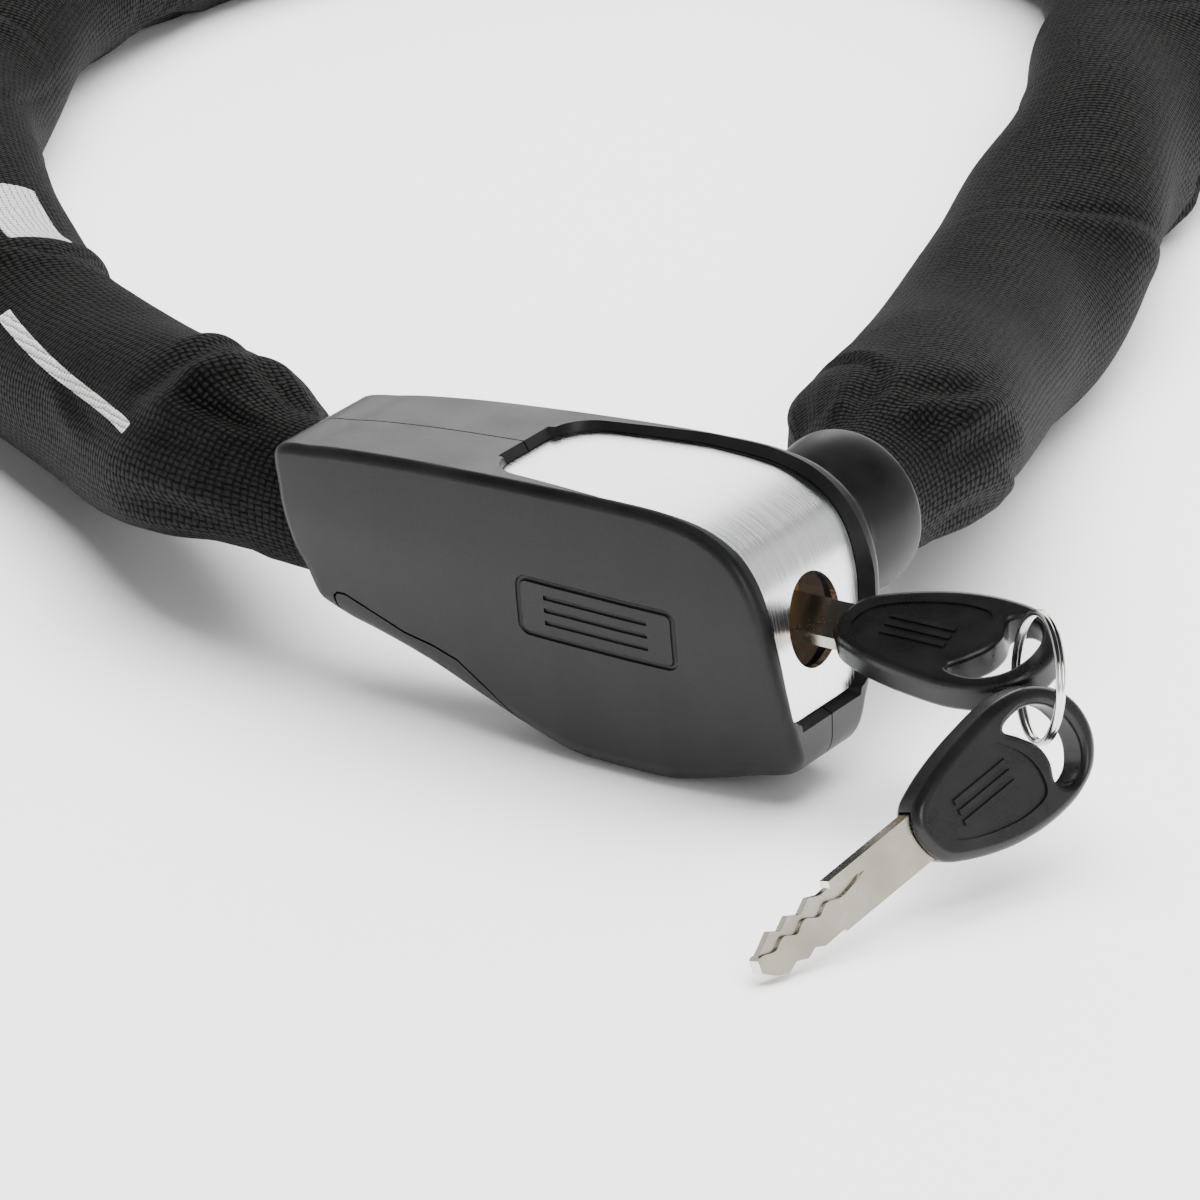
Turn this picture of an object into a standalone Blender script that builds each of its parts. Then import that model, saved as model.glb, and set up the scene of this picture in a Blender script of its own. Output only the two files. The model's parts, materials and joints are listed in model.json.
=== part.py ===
"""Chain lock: wedge-shaped lock body, key cylinder, latch, plug on a rubber collar, square-link chain in a woven
sleeve, and two keys on a split ring. Lengths below are in millimetres in the lock's own axes (x from the rear end to
the key, y across, z up from the key's axis); put() turns them into metres with the belly's flat on Z = 0."""

import math

import bmesh
import bpy
import numpy as np

for old in list(bpy.data.objects):
    bpy.data.objects.remove(old, do_unlink=True)

# ---------------------------------------------------------------- driving dimensions (mm)
X_MID = 70.0  # lock's own x at world X = 0
Z_FLOOR = -29.5  # lock's own z at world Z = 0
WALL = 2.4
GAP = 0.3
KEYHOLE_R = 7.8
PLATE_T = 1.2
STATOR_R, STATOR_X = 8.3, (62.0, 92.0)
PLUG_R = 6.2
KEY_ROLL = 22.0  # degrees, how far the key is turned from level at rest
BLADE_W, BLADE_T, BLADE_L = 8.5, 2.5, 36.0
BOW_X = 104.8  # where the bow starts
SOCKET_X, SOCKET_Z = 87.0, 5.5
BOLT_R, NECK_R = 5.2, 3.0
COLLAR_R = 14.0
LINK_W, LINK_WIRE, LINK_IN = 20.6, 5.2, 39.4
LINKS = 28
ANCHOR_X, ANCHOR_Z = 34.0, 1.2
SLEEVE_HW, SLEEVE_HH, SLEEVE_NECK, SLEEVE_WALL = 19.6, 15.6, 12.2, 0.8
RING_R, RING_WIRE = 10.3, 0.95
LATCH_TRAVEL = 3.4


def put(p):
    p = np.asarray(p, float)
    return (p - np.array([X_MID, 0.0, Z_FLOOR])) / 1000.0


def material(name, colour, metallic=0.0, roughness=0.5):
    m = bpy.data.materials.get(name)
    if m is None:
        m = bpy.data.materials.new(name)
        m.use_nodes = True
        b = m.node_tree.nodes["Principled BSDF"]
        b.inputs["Base Color"].default_value = (*colour, 1.0)
        b.inputs["Metallic"].default_value = metallic
        b.inputs["Roughness"].default_value = roughness
    return m


SHELL = material("moulded_shell", (0.055, 0.055, 0.057), 0.0, 0.5)
RUBBER = material("collar_rubber", (0.04, 0.04, 0.041), 0.0, 0.6)
BRUSHED = material("brushed_steel", (0.86, 0.87, 0.88), 1.0, 0.28)
BRASS = material("cylinder_brass", (0.66, 0.42, 0.2), 1.0, 0.35)
ZINC = material("die_cast_zinc", (0.42, 0.42, 0.43), 1.0, 0.5)
STEEL = material("hardened_steel", (0.5, 0.5, 0.51), 1.0, 0.35)
CHAIN = material("chain_steel", (0.45, 0.44, 0.42), 1.0, 0.4)
WEAVE = material("woven_sleeve", (0.03, 0.03, 0.028), 0.0, 0.9)
NICKEL = material("nickel_key", (0.72, 0.7, 0.63), 1.0, 0.3)
BOW = material("key_bow_plastic", (0.035, 0.035, 0.036), 0.0, 0.4)
WIRE = material("ring_wire", (0.8, 0.79, 0.77), 1.0, 0.18)


def mesh_object(name, verts, faces, mat, hidden=False):
    me = bpy.data.meshes.new(name)
    me.from_pydata([tuple(v) for v in put(verts)], [], [tuple(f) for f in faces])
    bm = bmesh.new()
    bm.from_mesh(me)
    bmesh.ops.remove_doubles(bm, verts=bm.verts, dist=1e-7)
    bmesh.ops.recalc_face_normals(bm, faces=bm.faces)
    bm.to_mesh(me)
    bm.free()
    ob = bpy.data.objects.new(name, me)
    bpy.context.scene.collection.objects.link(ob)
    me.materials.append(mat)
    if hidden:
        ob.hide_render = True
        ob.display_type = "WIRE"
    return ob


def apply_all(ob):
    """Bakes the modifiers in, so that a later Boolean sees the finished mesh."""
    graph = bpy.context.evaluated_depsgraph_get()
    me = bpy.data.meshes.new_from_object(ob.evaluated_get(graph))
    ob.modifiers.clear()
    ob.data = me
    return ob


def boolean(ob, other, how="DIFFERENCE"):
    m = ob.modifiers.new("cut", "BOOLEAN")
    m.operation = how
    m.solver = "EXACT"
    m.object = other
    apply_all(ob)
    bpy.data.objects.remove(other, do_unlink=True)
    return ob


# ---------------------------------------------------------------- small builders
def box_mesh(lo, hi):
    (x0, y0, z0), (x1, y1, z1) = lo, hi
    v = [(x, y, z) for x in (x0, x1) for y in (y0, y1) for z in (z0, z1)]
    f = [(0, 1, 3, 2), (4, 6, 7, 5), (0, 4, 5, 1), (2, 3, 7, 6), (0, 2, 6, 4), (1, 5, 7, 3)]
    return v, f


def box(name, lo, hi, mat=ZINC, hidden=True):
    return mesh_object(name, *box_mesh(lo, hi), mat, hidden)


def revolve(name, centre, axis, profile, n=24, mat=ZINC, hidden=True, start=0.0):
    """A solid of revolution: profile is (along, radius) pairs from one end to the other; equal ends close it as discs,
    and a profile that returns to its start makes a ring."""
    a = np.asarray(axis, float)
    a /= np.linalg.norm(a)
    u = np.cross(a, (0, 0, 1.0)) if abs(a[2]) < 0.9 else np.cross(a, (1.0, 0, 0))
    u /= np.linalg.norm(u)
    w = np.cross(a, u)
    ring = profile[0] == profile[-1]
    rows = profile[:-1] if ring else profile
    verts, faces = [], []
    for t, r in rows:
        for k in range(n):
            ang = start + 2 * math.pi * k / n
            verts.append(np.asarray(centre) + a * t + r * (math.cos(ang) * u + math.sin(ang) * w))
    m = len(rows)
    for i in range(m if ring else m - 1):
        j = (i + 1) % m
        for k in range(n):
            q = (k + 1) % n
            faces.append((i * n + k, i * n + q, j * n + q, j * n + k))
    if not ring:
        faces.append(tuple(range(n)))
        faces.append(tuple(range((m - 1) * n, m * n)))
    return mesh_object(name, verts, faces, mat, hidden)


def prism(name, outline, lo, hi, frame, mat=ZINC, hidden=True, chamfer=0.0):
    """Outline (u, v) points pushed along w from lo to hi, in frame = (origin, U, V, W)."""
    o, U, V, W = (np.asarray(q, float) for q in frame)
    pts = np.asarray(outline, float)
    c = pts.mean(0)
    levels = [(lo, pts), (hi, pts)]
    if chamfer:
        inner = inset_closed(pts, chamfer)
        levels = [(lo, inner), (lo + chamfer, pts), (hi - chamfer, pts), (hi, inner)]
    n = len(pts)
    verts = [o + p[0] * U + p[1] * V + h * W for h, ring in levels for p in ring]
    faces = []
    for i in range(len(levels) - 1):
        for k in range(n):
            q = (k + 1) % n
            faces.append((i * n + k, i * n + q, (i + 1) * n + q, (i + 1) * n + k))
    faces.append(tuple(range(n)))
    faces.append(tuple(range((len(levels) - 1) * n, len(levels) * n)))
    return mesh_object(name, verts, faces, mat, hidden)


def inset_closed(pts, d):
    """Each point of a closed outline moved d along its inward normal (d may be a list)."""
    pts = np.asarray(pts, float)
    area = 0.5 * np.sum(pts[:, 0] * np.roll(pts[:, 1], -1) - np.roll(pts[:, 0], -1) * pts[:, 1])
    t = np.roll(pts, -1, 0) - np.roll(pts, 1, 0)
    t /= np.linalg.norm(t, axis=1)[:, None]
    nrm = np.stack([-t[:, 1], t[:, 0]], 1) * (1 if area > 0 else -1)
    return pts + nrm * np.broadcast_to(d, len(pts))[:, None]


def smooth_closed(ctrl, n):
    """A centripetal Catmull-Rom through the control points, cut at n equal steps of length."""
    P = np.asarray(ctrl, float)
    out = []
    m = len(P)
    for i in range(m):
        p0, p1, p2, p3 = P[i - 1], P[i], P[(i + 1) % m], P[(i + 2) % m]
        t0 = 0.0
        t1 = t0 + max(np.linalg.norm(p1 - p0), 1e-6) ** 0.5
        t2 = t1 + max(np.linalg.norm(p2 - p1), 1e-6) ** 0.5
        t3 = t2 + max(np.linalg.norm(p3 - p2), 1e-6) ** 0.5
        for t in np.linspace(t1, t2, 24, endpoint=False):
            a1 = (t1 - t) / (t1 - t0) * p0 + (t - t0) / (t1 - t0) * p1
            a2 = (t2 - t) / (t2 - t1) * p1 + (t - t1) / (t2 - t1) * p2
            a3 = (t3 - t) / (t3 - t2) * p2 + (t - t2) / (t3 - t2) * p3
            b1 = (t2 - t) / (t2 - t0) * a1 + (t - t0) / (t2 - t0) * a2
            b2 = (t3 - t) / (t3 - t1) * a2 + (t - t1) / (t3 - t1) * a3
            out.append((t2 - t) / (t2 - t1) * b1 + (t - t1) / (t2 - t1) * b2)
    out = np.array(out)
    if n is None:
        return out
    seg = np.linalg.norm(np.roll(out, -1, 0) - out, axis=1)
    s = np.concatenate([[0], np.cumsum(seg)])
    closed = np.vstack([out, out[:1]])
    want = np.linspace(0, s[-1], n, endpoint=False)
    return np.stack([np.interp(want, s, closed[:, k]) for k in range(out.shape[1])], 1)


def smooth_open(ctrl, n=None, step=8):
    P = np.asarray(ctrl, float)
    P = np.vstack([2 * P[0] - P[1], P, 2 * P[-1] - P[-2]])
    out = []
    for i in range(1, len(P) - 2):
        p0, p1, p2, p3 = P[i - 1], P[i], P[i + 1], P[i + 2]
        for t in np.linspace(0, 1, step, endpoint=False):
            out.append(0.5 * (2 * p1 + (p2 - p0) * t + (2 * p0 - 5 * p1 + 4 * p2 - p3) * t * t + (3 * p1 - p0 - 3 * p2 + p3) * t**3))
    out.append(P[-2])
    out = np.array(out)
    if n is None:
        return out
    s = np.concatenate([[0], np.cumsum(np.linalg.norm(np.diff(out, axis=0), axis=1))])
    want = np.linspace(0, s[-1], n)
    return np.stack([np.interp(want, s, out[:, k]) for k in range(out.shape[1])], 1)


def tube(name, path, radius, n, mat, closed=False, squash=1.0, hidden=False):
    """A round wire along a path, with frames carried along it; closed joins the ends."""
    P = np.asarray(path, float)
    m = len(P)
    T = np.roll(P, -1, 0) - np.roll(P, 1, 0) if closed else np.gradient(P, axis=0)
    T /= np.linalg.norm(T, axis=1)[:, None]
    u = np.cross(T[0], (0.3, 0.2, 0.9))
    u /= np.linalg.norm(u)
    U = []
    for k in range(m):
        u = u - (u @ T[k]) * T[k]
        u /= np.linalg.norm(u)
        U.append(u)
    verts, faces = [], []
    for k in range(m):
        w = np.cross(T[k], U[k])
        for j in range(n):
            a = 2 * math.pi * (j + 0.5) / n
            verts.append(P[k] + radius * (math.cos(a) * U[k] + squash * math.sin(a) * w))
    for k in range(m if closed else m - 1):
        q = (k + 1) % m
        for j in range(n):
            i = (j + 1) % n
            faces.append((k * n + j, k * n + i, q * n + i, q * n + j))
    if not closed:
        faces += [tuple(range(n)), tuple(range((m - 1) * n, m * n))]
    return mesh_object(name, verts, faces, mat, hidden)


# ---------------------------------------------------------------- lock body
OUTER = [
    (4.2, 14.6), (12, 16.6), (25, 18.2), (42, 19.4), (58, 20.2), (72, 20.6), (82, 20.4), (89.5, 18.9), (95.2, 15.6),
    (98.9, 10.8), (101.2, 4.8), (102.4, -2), (103.0, -9), (103.2, -16), (103.0, -21.2), (101.2, -23.6), (95, -25.4), (87.5, -27.6),
    (80, -29.2), (76, -29.5), (64, -29.5), (58, -28.6), (50, -26.2), (42, -23.2), (32, -19.4), (22, -16.6), (15, -14.9),
    (10.6, -12.6), (8.4, -6.5), (6.2, 1), (4.8, 8),
]
CAVITY = [
    (8.5, 11.6), (14, 14.0), (25, 15.4), (42, 16.6), (58, 17.0), (72, 17.2), (80, 16.9), (87.5, 15.2), (92.4, 12.2), (95.8, 8.2),
    (97.6, 3.0), (98.7, -4), (99.4, -12), (99.2, -18.2), (96.5, -21.8), (87.5, -24.6), (79, -26.4), (65, -26.6), (52, -23.8), (42, -20.2),
    (32, -16.4), (22, -13.7), (15, -12.1), (11.8, -8), (9.5, 2),
]
HALF = np.array([(4, 14.2), (12, 15.2), (25, 16.4), (42, 17.6), (60, 18.7), (75, 19.3), (90, 19.5), (98, 19.2), (104, 18.4)])
DROP = np.array([(4, 9.0), (25, 8.0), (42, 6.4), (60, 5.2), (80, 5.4), (92, 6.8), (104, 8.6)])


def half_width(x, z):
    """Half the body's width at a place on its side."""
    w = np.interp(x, HALF[:, 0], HALF[:, 1])
    k = np.interp(x, DROP[:, 0], DROP[:, 1])
    low = np.clip((6.0 - z) / 29.0, 0, None)
    return w - k * low**1.5 - 0.5 * np.clip((z - 8) / 12, 0, None) ** 2


def corner(outline, top, low, end):
    """The edge radius round the outline: top and front, belly, chin."""
    x, z = outline[:, 0], outline[:, 1]
    r = np.full(len(outline), top)
    belly = (z < -13) & (x < 99)
    r = np.where(belly, low, r)
    r = np.where((z < -13) & (x >= 92), np.interp(x, [92, 100], [low, end]), r)
    r = np.where((z < -4) & (z >= -13) & (x < 30), 0.5 * (low + top), r)
    for _ in range(2):
        r = (np.roll(r, 1) + 2 * r + np.roll(r, -1)) / 4
    return r


SPINE = (np.array([26.0, 1.0]), np.array([84.0, -5.0]))


def body_mesh(ctrl, n, side, top, low, end, steps, shrink=0.0):
    """A closed body between y = -w and y = +w whose outline is ctrl, with rounded edges; side(x, z) gives w."""
    P = smooth_closed(ctrl, n)
    P[:, 1] = np.maximum(P[:, 1], Z_FLOOR)  # the belly's flat
    r = corner(P, top, low, end)
    a, b = SPINE
    d = b - a
    t = np.clip(((P - a) @ d) / (d @ d), 0, 1)
    S = a + t[:, None] * d
    rings = []
    for k in range(steps + 1):
        ang = 0.5 * math.pi * k / steps
        Q = inset_closed(P, r * (1 - math.cos(ang)))
        w = side(Q[:, 0], Q[:, 1]) - shrink
        rings.append((Q, w - r * (1 - math.sin(ang))))
    Q = inset_closed(P, r)
    for f in (0.3, 0.62):
        M = Q + f * (S - Q)
        rings.append((M, side(M[:, 0], M[:, 1]) - shrink))
    verts, faces = [], []
    m = len(rings)
    order = [(-1, i) for i in range(m - 1, -1, -1)] + [(1, i) for i in range(m)]
    for sgn, i in order:
        Q, y = rings[i]
        verts += [(Q[k, 0], sgn * y[k], Q[k, 1]) for k in range(n)]
    for i in range(2 * m - 1):
        for k in range(n):
            q = (k + 1) % n
            faces.append((i * n + k, i * n + q, (i + 1) * n + q, (i + 1) * n + k))
    # the two sides are closed by quads across the last ring, from its rear end to its front end
    for base, flip in ((0, False), ((2 * m - 1) * n, True)):
        Q = rings[-1][0]
        lo = int(np.argmin(Q[:, 0]))
        hi = int(np.argmax(Q[:, 0]))
        up = [(lo + j) % n for j in range((hi - lo) % n + 1)]
        dn = [(lo - j) % n for j in range((lo - hi) % n + 1)]
        i = j = 0
        while i < len(up) - 1 or j < len(dn) - 1:
            if j >= len(dn) - 1 or (i < len(up) - 1 and Q[up[i + 1], 0] <= Q[dn[j + 1], 0]):
                f = (up[i], up[i + 1], dn[j])
                i += 1
            else:
                f = (up[i], dn[j + 1], dn[j])
                j += 1
            if len(set(f)) == 3:
                faces.append(tuple(base + q for q in f))
    return verts, faces


# the faceplate's surface, rear to bottom, and its half width
PLATE = smooth_open([(45.6, 18.0), (56, 18.7), (72, 19.0), (82, 18.6), (88.5, 17.3), (93.6, 14.6), (96.9, 10.4), (98.7, 5.2), (99.9, -1), (100.8, -8), (101.4, -14.6)], 61)
PLATE_S = np.concatenate([[0], np.cumsum(np.linalg.norm(np.diff(PLATE, axis=0), axis=1))])
PLATE_LEN = PLATE_S[-1]


def plate_half(s):
    """Half the plate's width along its length: rounded rear, widest at the bend, narrowing to the chin."""
    f = s / PLATE_LEN
    w = np.interp(f, [0, 0.1, 0.3, 0.45, 0.62, 0.78, 0.9, 1.0], [12.0, 13.2, 15.6, 15.6, 14.6, 14.3, 12.6, 10.4])
    rear = 6.0
    w = np.where(s < rear, w - 5.6 * (1 - np.sqrt(np.clip(1 - ((rear - s) / rear) ** 2, 0, 1))), w)
    end = PLATE_LEN - s
    r = 2.5
    return np.where(end < r, w - r * (1 - np.sqrt(np.clip(1 - ((r - end) / r) ** 2, 0, 1))), w)


def plate_point(s, y, off):
    k = np.clip(s, 0, PLATE_LEN)
    x = np.interp(k, PLATE_S, PLATE[:, 0])
    z = np.interp(k, PLATE_S, PLATE[:, 1])
    e = 1.2
    dx = np.interp(min(k + e, PLATE_LEN), PLATE_S, PLATE[:, 0]) - np.interp(max(k - e, 0), PLATE_S, PLATE[:, 0])
    dz = np.interp(min(k + e, PLATE_LEN), PLATE_S, PLATE[:, 1]) - np.interp(max(k - e, 0), PLATE_S, PLATE[:, 1])
    n = math.hypot(dx, dz)
    tx, tz = dx / n, dz / n
    x, z = x + tx * (s - k), z + tz * (s - k)
    return np.array([x - tz * off, y, z + tx * off])


def plate_sheet(levels, stations, cols=5):
    """A curved block over the plate's outline. levels is (offset, growth) from inside to outside."""
    verts, faces = [], []
    ns = len(stations)
    grid = []
    for off, grow in levels:
        rows = []
        for i, s in enumerate(stations):
            f = s / PLATE_LEN
            ss = s + grow * (2 * f - 1) if i in (0, ns - 1) else s
            w = float(plate_half(np.array(s))) + grow
            row = []
            for j in range(cols):
                row.append(len(verts))
                verts.append(plate_point(ss, w * (2 * j / (cols - 1) - 1), off))
            rows.append(row)
        grid.append(rows)
    for rows in (grid[0], grid[-1]):
        for i in range(ns - 1):
            for j in range(cols - 1):
                faces.append((rows[i][j], rows[i][j + 1], rows[i + 1][j + 1], rows[i + 1][j]))
    for a, b in zip(grid, grid[1:]):
        for i in range(ns - 1):
            for j in (0, cols - 1):
                faces.append((a[i][j], a[i + 1][j], b[i + 1][j], b[i][j]))
        for i in (0, ns - 1):
            for j in range(cols - 1):
                faces.append((a[i][j], a[i][j + 1], b[i][j + 1], b[i][j]))
    return verts, faces


def plate_stations(n):
    s = [0, 0.35, 1.2, 2.8, 6.0]
    s += list(np.linspace(10, PLATE_LEN - 6, n))
    s += [PLATE_LEN - 2.5, PLATE_LEN - 1.3, PLATE_LEN - 0.4, PLATE_LEN]
    return [float(q) for q in s]


def profile_prism(name, poly, y0, y1, mat=ZINC, hidden=True):
    return prism(name, poly, y0, y1, ((0, 0, 0), (1, 0, 0), (0, 0, 1), (0, 1, 0)), mat, hidden)


# upper edge of the belly panel, rear to front
CREASE = [(15.4, -9.0), (17.2, -8.8), (28.8, -13.1), (34.6, -14.0), (39.6, -15.5), (45.3, -19.8), (51.4, -25.4), (54.6, -30.0)]

N_BODY = 46


def hollow_body(name):
    ob = mesh_object(name, *body_mesh(OUTER, N_BODY, half_width, 1.8, 4.2, 2.6, 3), SHELL)
    cavity = mesh_object("c", *body_mesh(CAVITY, 36, half_width, 1.0, 3.0, 1.6, 1, WALL), SHELL, True)
    boolean(ob, cavity)
    # rear mouth for the sleeve
    boolean(ob, revolve("c", (0, 0, ANCHOR_Z), (1, 0, 0), [(-5, SLEEVE_NECK + 0.75), (14, SLEEVE_NECK + 0.75)], 28))
    # sloped recess and seat of the faceplate, then the window behind it
    boolean(ob, mesh_object("c", *plate_sheet([(-PLATE_T - GAP, GAP), (0.05, GAP), (2.4, 1.7), (7.5, 2.4)], plate_stations(13)), SHELL, True))
    boolean(ob, mesh_object("c", *plate_sheet([(-6.0, -2.0), (1.0, -2.0)], [s for s in plate_stations(9) if 2.0 < s < PLATE_LEN - 2.0]), SHELL, True))
    return ob


def half(ob, side):
    y = (0.15, 60) if side > 0 else (-60, -0.15)
    return boolean(ob, box("c", (-30, y[0], -60), (140, y[1], 60)), "INTERSECT")


left = hollow_body("left_shell")
belly = mesh_object("belly_cover", *body_mesh(OUTER, N_BODY, half_width, 1.8, 4.2, 2.6, 3), SHELL)
boolean(belly, mesh_object("c", *body_mesh(CAVITY, 36, half_width, 1.0, 3.0, 1.6, 1, WALL), SHELL, True))
boolean(belly, revolve("c", (0, 0, ANCHOR_Z), (1, 0, 0), [(-5, SLEEVE_NECK + 0.75), (14, SLEEVE_NECK + 0.75)], 28))
boolean(belly, profile_prism("c", [(14.9, -10.2), *[(x, z - 0.45) for x, z in CREASE], (54.9, -60), (14.9, -60)], -60, 60), "INTERSECT")
boolean(left, profile_prism("c", [(14.45, -10.0), *CREASE, (55.3, -60), (14.45, -60)], -60, 60))
right = left.copy()
right.data = left.data.copy()
right.name = right.data.name = "right_shell"
bpy.context.scene.collection.objects.link(right)
half(left, -1)
half(right, 1)
# the plug's socket in the right shell
boolean(right, revolve("c", (SOCKET_X, 0, SOCKET_Z), (0, 1, 0), [(10, BOLT_R + 3.1), (40, BOLT_R + 3.1)], 28))

# screw seats: heads in the right shell, tips in bosses of the left one
SCREWS = ((47.6, -14.6), (48.2, 11.8))
for x, z in SCREWS:
    w = float(half_width(x, z))
    boolean(right, revolve("c", (x, 0, z), (0, 1, 0), [(w - 1.3, 3.0), (w + 5, 3.0)], 16))
    boolean(right, revolve("c", (x, 0, z), (0, 1, 0), [(w - 8, 1.8), (w + 5, 1.8)], 12))
    boolean(left, revolve("c", (x, 0, z), (0, 1, 0), [(-w + 1.2, 3.4), (-w + 7.5, 3.4)], 12), "UNION")
    boolean(left, revolve("c", (x, 0, z), (0, 1, 0), [(-w + 2.6, 1.45), (-w + 9, 1.45)], 10))

# grip field on the near side: a plain outline and three plain lines cut into the face
def rounded(w, h, r, n=4):
    pts = []
    for cx, cy, a0 in ((w - r, h - r, 0), (-w + r, h - r, 90), (-w + r, -h + r, 180), (w - r, -h + r, 270)):
        for k in range(n + 1):
            a = math.radians(a0 + 90 * k / n)
            pts.append((cx + r * math.cos(a), cy + r * math.sin(a)))
    return pts


FIELD_X, FIELD_Z = 69.5, -0.8
GROOVE_SIDES = 5


def on_side(u, v):
    """The place on the left shell's outer face that lies u along and v above the field's middle."""
    x, z = FIELD_X + u, FIELD_Z + v
    return np.array([x, -float(half_width(x, z)), z])


def groove(line, r, closed):
    boolean(left, tube("c", [on_side(u, v) for u, v in line], r, GROOVE_SIDES, SHELL, closed, 1.0, True))


def steps(line, n):
    P = np.asarray(line, float)
    d = np.concatenate([[0], np.cumsum(np.linalg.norm(np.diff(P, axis=0), axis=1))])
    w = np.linspace(0, d[-1], n)
    return np.stack([np.interp(w, d, P[:, k]) for k in (0, 1)], 1)


groove(rounded(15.0, 5.0, 1.6, 3), 0.5, True)
for dv in (-2.3, 0.0, 2.3):
    groove(steps([(-10.0, dv), (10.0, dv)], 5), 0.42, False)

plate = mesh_object("faceplate", *plate_sheet([(-PLATE_T, 0.0), (0.0, 0.0)], plate_stations(17), 7), BRUSHED)
boolean(plate, revolve("c", (0, 0, 0), (1, 0, 0), [(90, KEYHOLE_R), (110, KEYHOLE_R)], 32))

# ---------------------------------------------------------------- core
CORE = [
    (24, 13.0), (42, 15.9), (58, 16.4), (72, 16.5), (80, 16.2), (87.3, 14.4), (91.6, 11.7), (94.7, 8.0), (96.2, 3.2), (97.3, -4),
    (97.9, -12), (97.6, -17.6), (95.6, -20.6), (87.2, -23.4), (79, -25.4), (65.2, -25.7), (52.4, -23.0), (42.4, -19.4), (32.4, -15.6), (24, -13.2),
    (14.6, -10.6), (14.6, 12.2),
]
core = mesh_object("lock_core", *body_mesh(CORE, 34, half_width, 1.6, 3.4, 2.0, 1, WALL + 0.9), ZINC)
# relieved behind the faceplate's bend
boolean(core, mesh_object("c", *plate_sheet([(-PLATE_T - 0.45, 4.5), (14, 4.5)], plate_stations(9)), ZINC, True))
# chain slot and the sleeve's mouth at the rear
boolean(core, box("c", (4, -3.6, ANCHOR_Z - 10.9), (44.5, 3.6, ANCHOR_Z + 10.9)))
boolean(core, box("c", (4, -11.4, ANCHOR_Z - 11.6), (15.4, 11.4, ANCHOR_Z + 11.6)))
# cylinder bore, cam room, latch room
boolean(core, revolve("c", (0, 0, 0), (1, 0, 0), [(STATOR_X[0] - 0.3, STATOR_R + GAP), (102, STATOR_R + GAP)], 28))
boolean(core, box("c", (50.5, -8.6, -8.6), (STATOR_X[0] + 0.3, 8.6, 8.6)))
LATCH_Y = (12.2, 14.6)
LATCH_Z = (SOCKET_Z + 5.65, SOCKET_Z + 8.6)
boolean(core, box("c", (54.7, -6.6, -8.4), (58.6, LATCH_Y[1] + 0.4, LATCH_Z[1] + 0.4)))
boolean(core, box("c", (54.7, LATCH_Y[0] - 0.4, LATCH_Z[0] - LATCH_TRAVEL - 0.5), (89.6, LATCH_Y[1] + 0.4, LATCH_Z[1] + 0.4)))
boolean(core, box("c", (66.0, LATCH_Y[0] - 1.7, -2.4), (71.4, LATCH_Y[1] + 1.4, LATCH_Z[0] + 0.2)))
# plug socket from the right
boolean(core, revolve("c", (SOCKET_X, 0, SOCKET_Z), (0, 1, 0), [(8.9, BOLT_R + GAP), (40, BOLT_R + GAP)], 28))
boolean(core, revolve("c", (SOCKET_X, 0, SOCKET_Z), (0, 1, 0), [(16.0, 8.1), (40, 8.1)], 28))
boolean(core, revolve("c", (ANCHOR_X, 0, ANCHOR_Z), (0, 1, 0), [(-11.2, 3.0 + GAP), (30, 3.0 + GAP)], 18))
for x, z in SCREWS:
    w = float(half_width(x, z))
    boolean(core, revolve("c", (x, 0, z), (0, 1, 0), [(-30, 3.8), (-w + 8.2, 3.8)], 12))
    boolean(core, revolve("c", (x, 0, z), (0, 1, 0), [(-30, 1.8), (30, 1.8)], 12))
    revolve("shell_screw_%d" % (1 + (z > 0)), (x, 0, z), (0, 1, 0), [(-w + 3.0, 1.1), (w - 1.6 + 0.5, 1.1), (w - 1.6 + 0.5, 2.6), (w - 0.1, 2.6)], 14, STEEL, False)

revolve("anchor_pin", (ANCHOR_X, 0, ANCHOR_Z), (0, 1, 0), [(-10.8, 3.0), (11.6, 3.0)], 18, STEEL, False)

# ---------------------------------------------------------------- cylinder
ROLL = math.radians(KEY_ROLL)
KY = np.array([0, math.cos(ROLL), math.sin(ROLL)])  # across the blade
KZ = np.array([0, -math.sin(ROLL), math.cos(ROLL)])  # through the blade
KEY_FRAME = (np.zeros(3), np.array([1.0, 0, 0]), KY, KZ)

revolve("cylinder_housing", (0, 0, 0), (1, 0, 0), [(62.0, PLUG_R + GAP), (62.0, STATOR_R), (92.0, STATOR_R), (92.0, PLUG_R + GAP), (62.0, PLUG_R + GAP)], 32, BRASS, False)
plug = revolve("cylinder_plug", (0, 0, 0), (1, 0, 0), [(61.7, PLUG_R), (92.2, PLUG_R)], 32, BRASS, False)
boolean(plug, prism("c", [(64.5, -4.55), (95, -4.55), (95, 4.55), (64.5, 4.55)], -1.6, 1.6, KEY_FRAME))
WAFERS = (72.0, 76.5, 81.0, 85.5)
for x in WAFERS:
    boolean(plug, prism("c", [(x - 0.9, -5.2), (x + 0.9, -5.2), (x + 0.9, 5.2), (x - 0.9, 5.2)], -2.9, 2.9, KEY_FRAME))
for i, x in enumerate(WAFERS):
    w = prism("wafer_%d" % (i + 1), [(-2.6, -4.9), (2.6, -4.9), (2.6, 4.9), (-2.6, 4.9)], x - 0.55, x + 0.55, (np.zeros(3), KZ, KY, np.array([1.0, 0, 0])), BRASS, False)
    boolean(w, prism("c", [(x - 2, -4.45), (x + 2, -4.45), (x + 2, 4.45), (x - 2, 4.45)], -1.55, 1.55, KEY_FRAME))
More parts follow.
